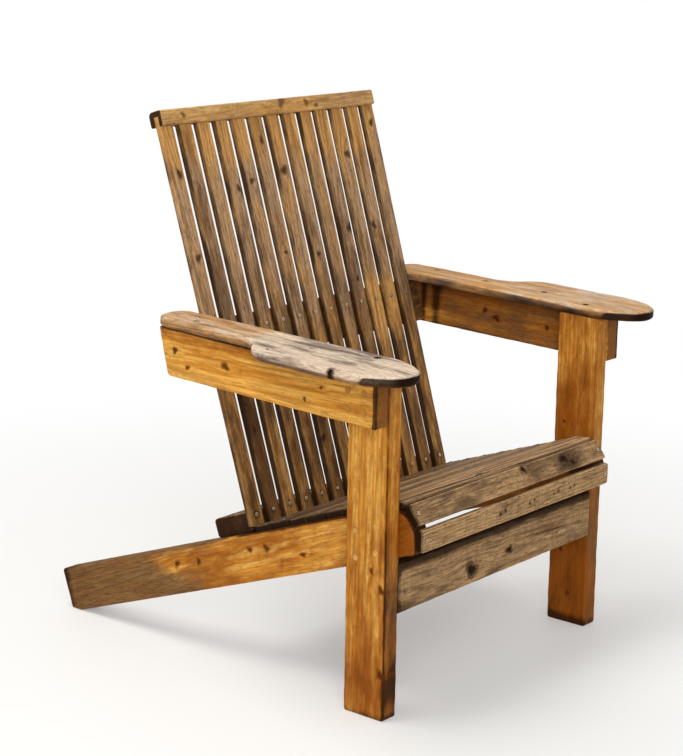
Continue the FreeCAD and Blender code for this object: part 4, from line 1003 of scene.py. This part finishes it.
# pale painted floor that keeps the shadow near the chair and goes over to the white of the background
floorMaterial, tree, shader = newMaterial("palePaintedFloor")
add = partial(addNode, tree)
shader.inputs["Base Color"].default_value = tint(stage["colour"])
shader.inputs["Roughness"].default_value = 0.6
reach = add("VectorMath", {0: add("TexCoord", out="Object")}, out=1, operation="LENGTH")
near, away = stage["fade"]
far = add("MapRange", {0: reach, 1: near, 2: away, 3: stage["least"], 4: 1.0}, interpolation_type="SMOOTHSTEP")
white = add("Emission", {"Color": (1, 1, 1, 1), "Strength": 1.0})
amount = add("Math", {0: far, 1: eyeRays(add)}, operation="MULTIPLY")
surface = shader.outputs[0].links[0].to_socket
tree.links.new(add("MixShader", {0: amount, 1: shader.outputs[0], 2: white}), surface)
floorMesh.materials.append(floorMaterial)
floor = bpy.data.objects.new("floor", floorMesh)
bpy.context.scene.collection.objects.link(floor)

world = bpy.data.worlds.new("studio")
bpy.context.scene.world = world
world.use_nodes = True
tree = world.node_tree
tree.nodes.clear()
add = partial(addNode, tree)
strength = add("MapRange", {0: eyeRays(add), 3: stage["sky"], 4: 1.0})
sky = add("Background", {"Color": (1, 1, 1, 1), "Strength": strength})
tree.links.new(sky, tree.nodes.new("ShaderNodeOutputWorld").inputs["Surface"])

lights = (
    {"name": "softboxAbove", "at": (-1.2, 0.9, 4.0), "size": 2.6, "power": 104},
    {"name": "softboxFront", "at": (-3.2, -3.0, 2.2), "size": 2.4, "power": 84},
)
lightsAim = vec(0, 0, 0.5)      # middle of the chair
for entry in lights:
    lamp = bpy.data.lights.new(entry["name"], "AREA")
    lamp.shape = "DISK"
    lamp.size = entry["size"]
    lamp.energy = entry["power"]
    lampObject = bpy.data.objects.new(entry["name"], lamp)
    x, y, z = lightsAim - np.array(entry["at"])
    lampObject.location = entry["at"]
    lampObject.rotation_euler = (atan2(hypot(x, y), -z), 0, atan2(y, x) - pi / 2)
    bpy.context.scene.collection.objects.link(lampObject)

view = {"at": (-2901.25, -2019.45, 1392.88), "azimuth": -50.36, "elevation": 13.394, "roll": 0.90, "lens": 95.58,
        "sensor": 36}
azimuth, elevation, roll = (radians(view[key]) for key in ("azimuth", "elevation", "roll"))
backward = vec(sin(azimuth) * cos(elevation), -cos(azimuth) * cos(elevation), sin(elevation))
level = np.cross(-backward, (0, 0, 1))
level /= np.linalg.norm(level)
upright = np.cross(level, -backward)
across = level * cos(roll) + upright * sin(roll)
upward = -level * sin(roll) + upright * cos(roll)
camera = bpy.data.objects.new("camera", bpy.data.cameras.new("camera"))
camera.data.lens = view["lens"]
camera.data.sensor_width = view["sensor"]
pose = np.eye(4)
pose[:3] = np.stack([across, upward, backward, fromLegs(*view["at"])], 1)
camera.matrix_world = Matrix(pose.tolist())
bpy.context.scene.collection.objects.link(camera)
bpy.context.scene.camera = camera
bpy.context.scene.view_settings.view_transform = "Standard"
print("stage, light and camera set")
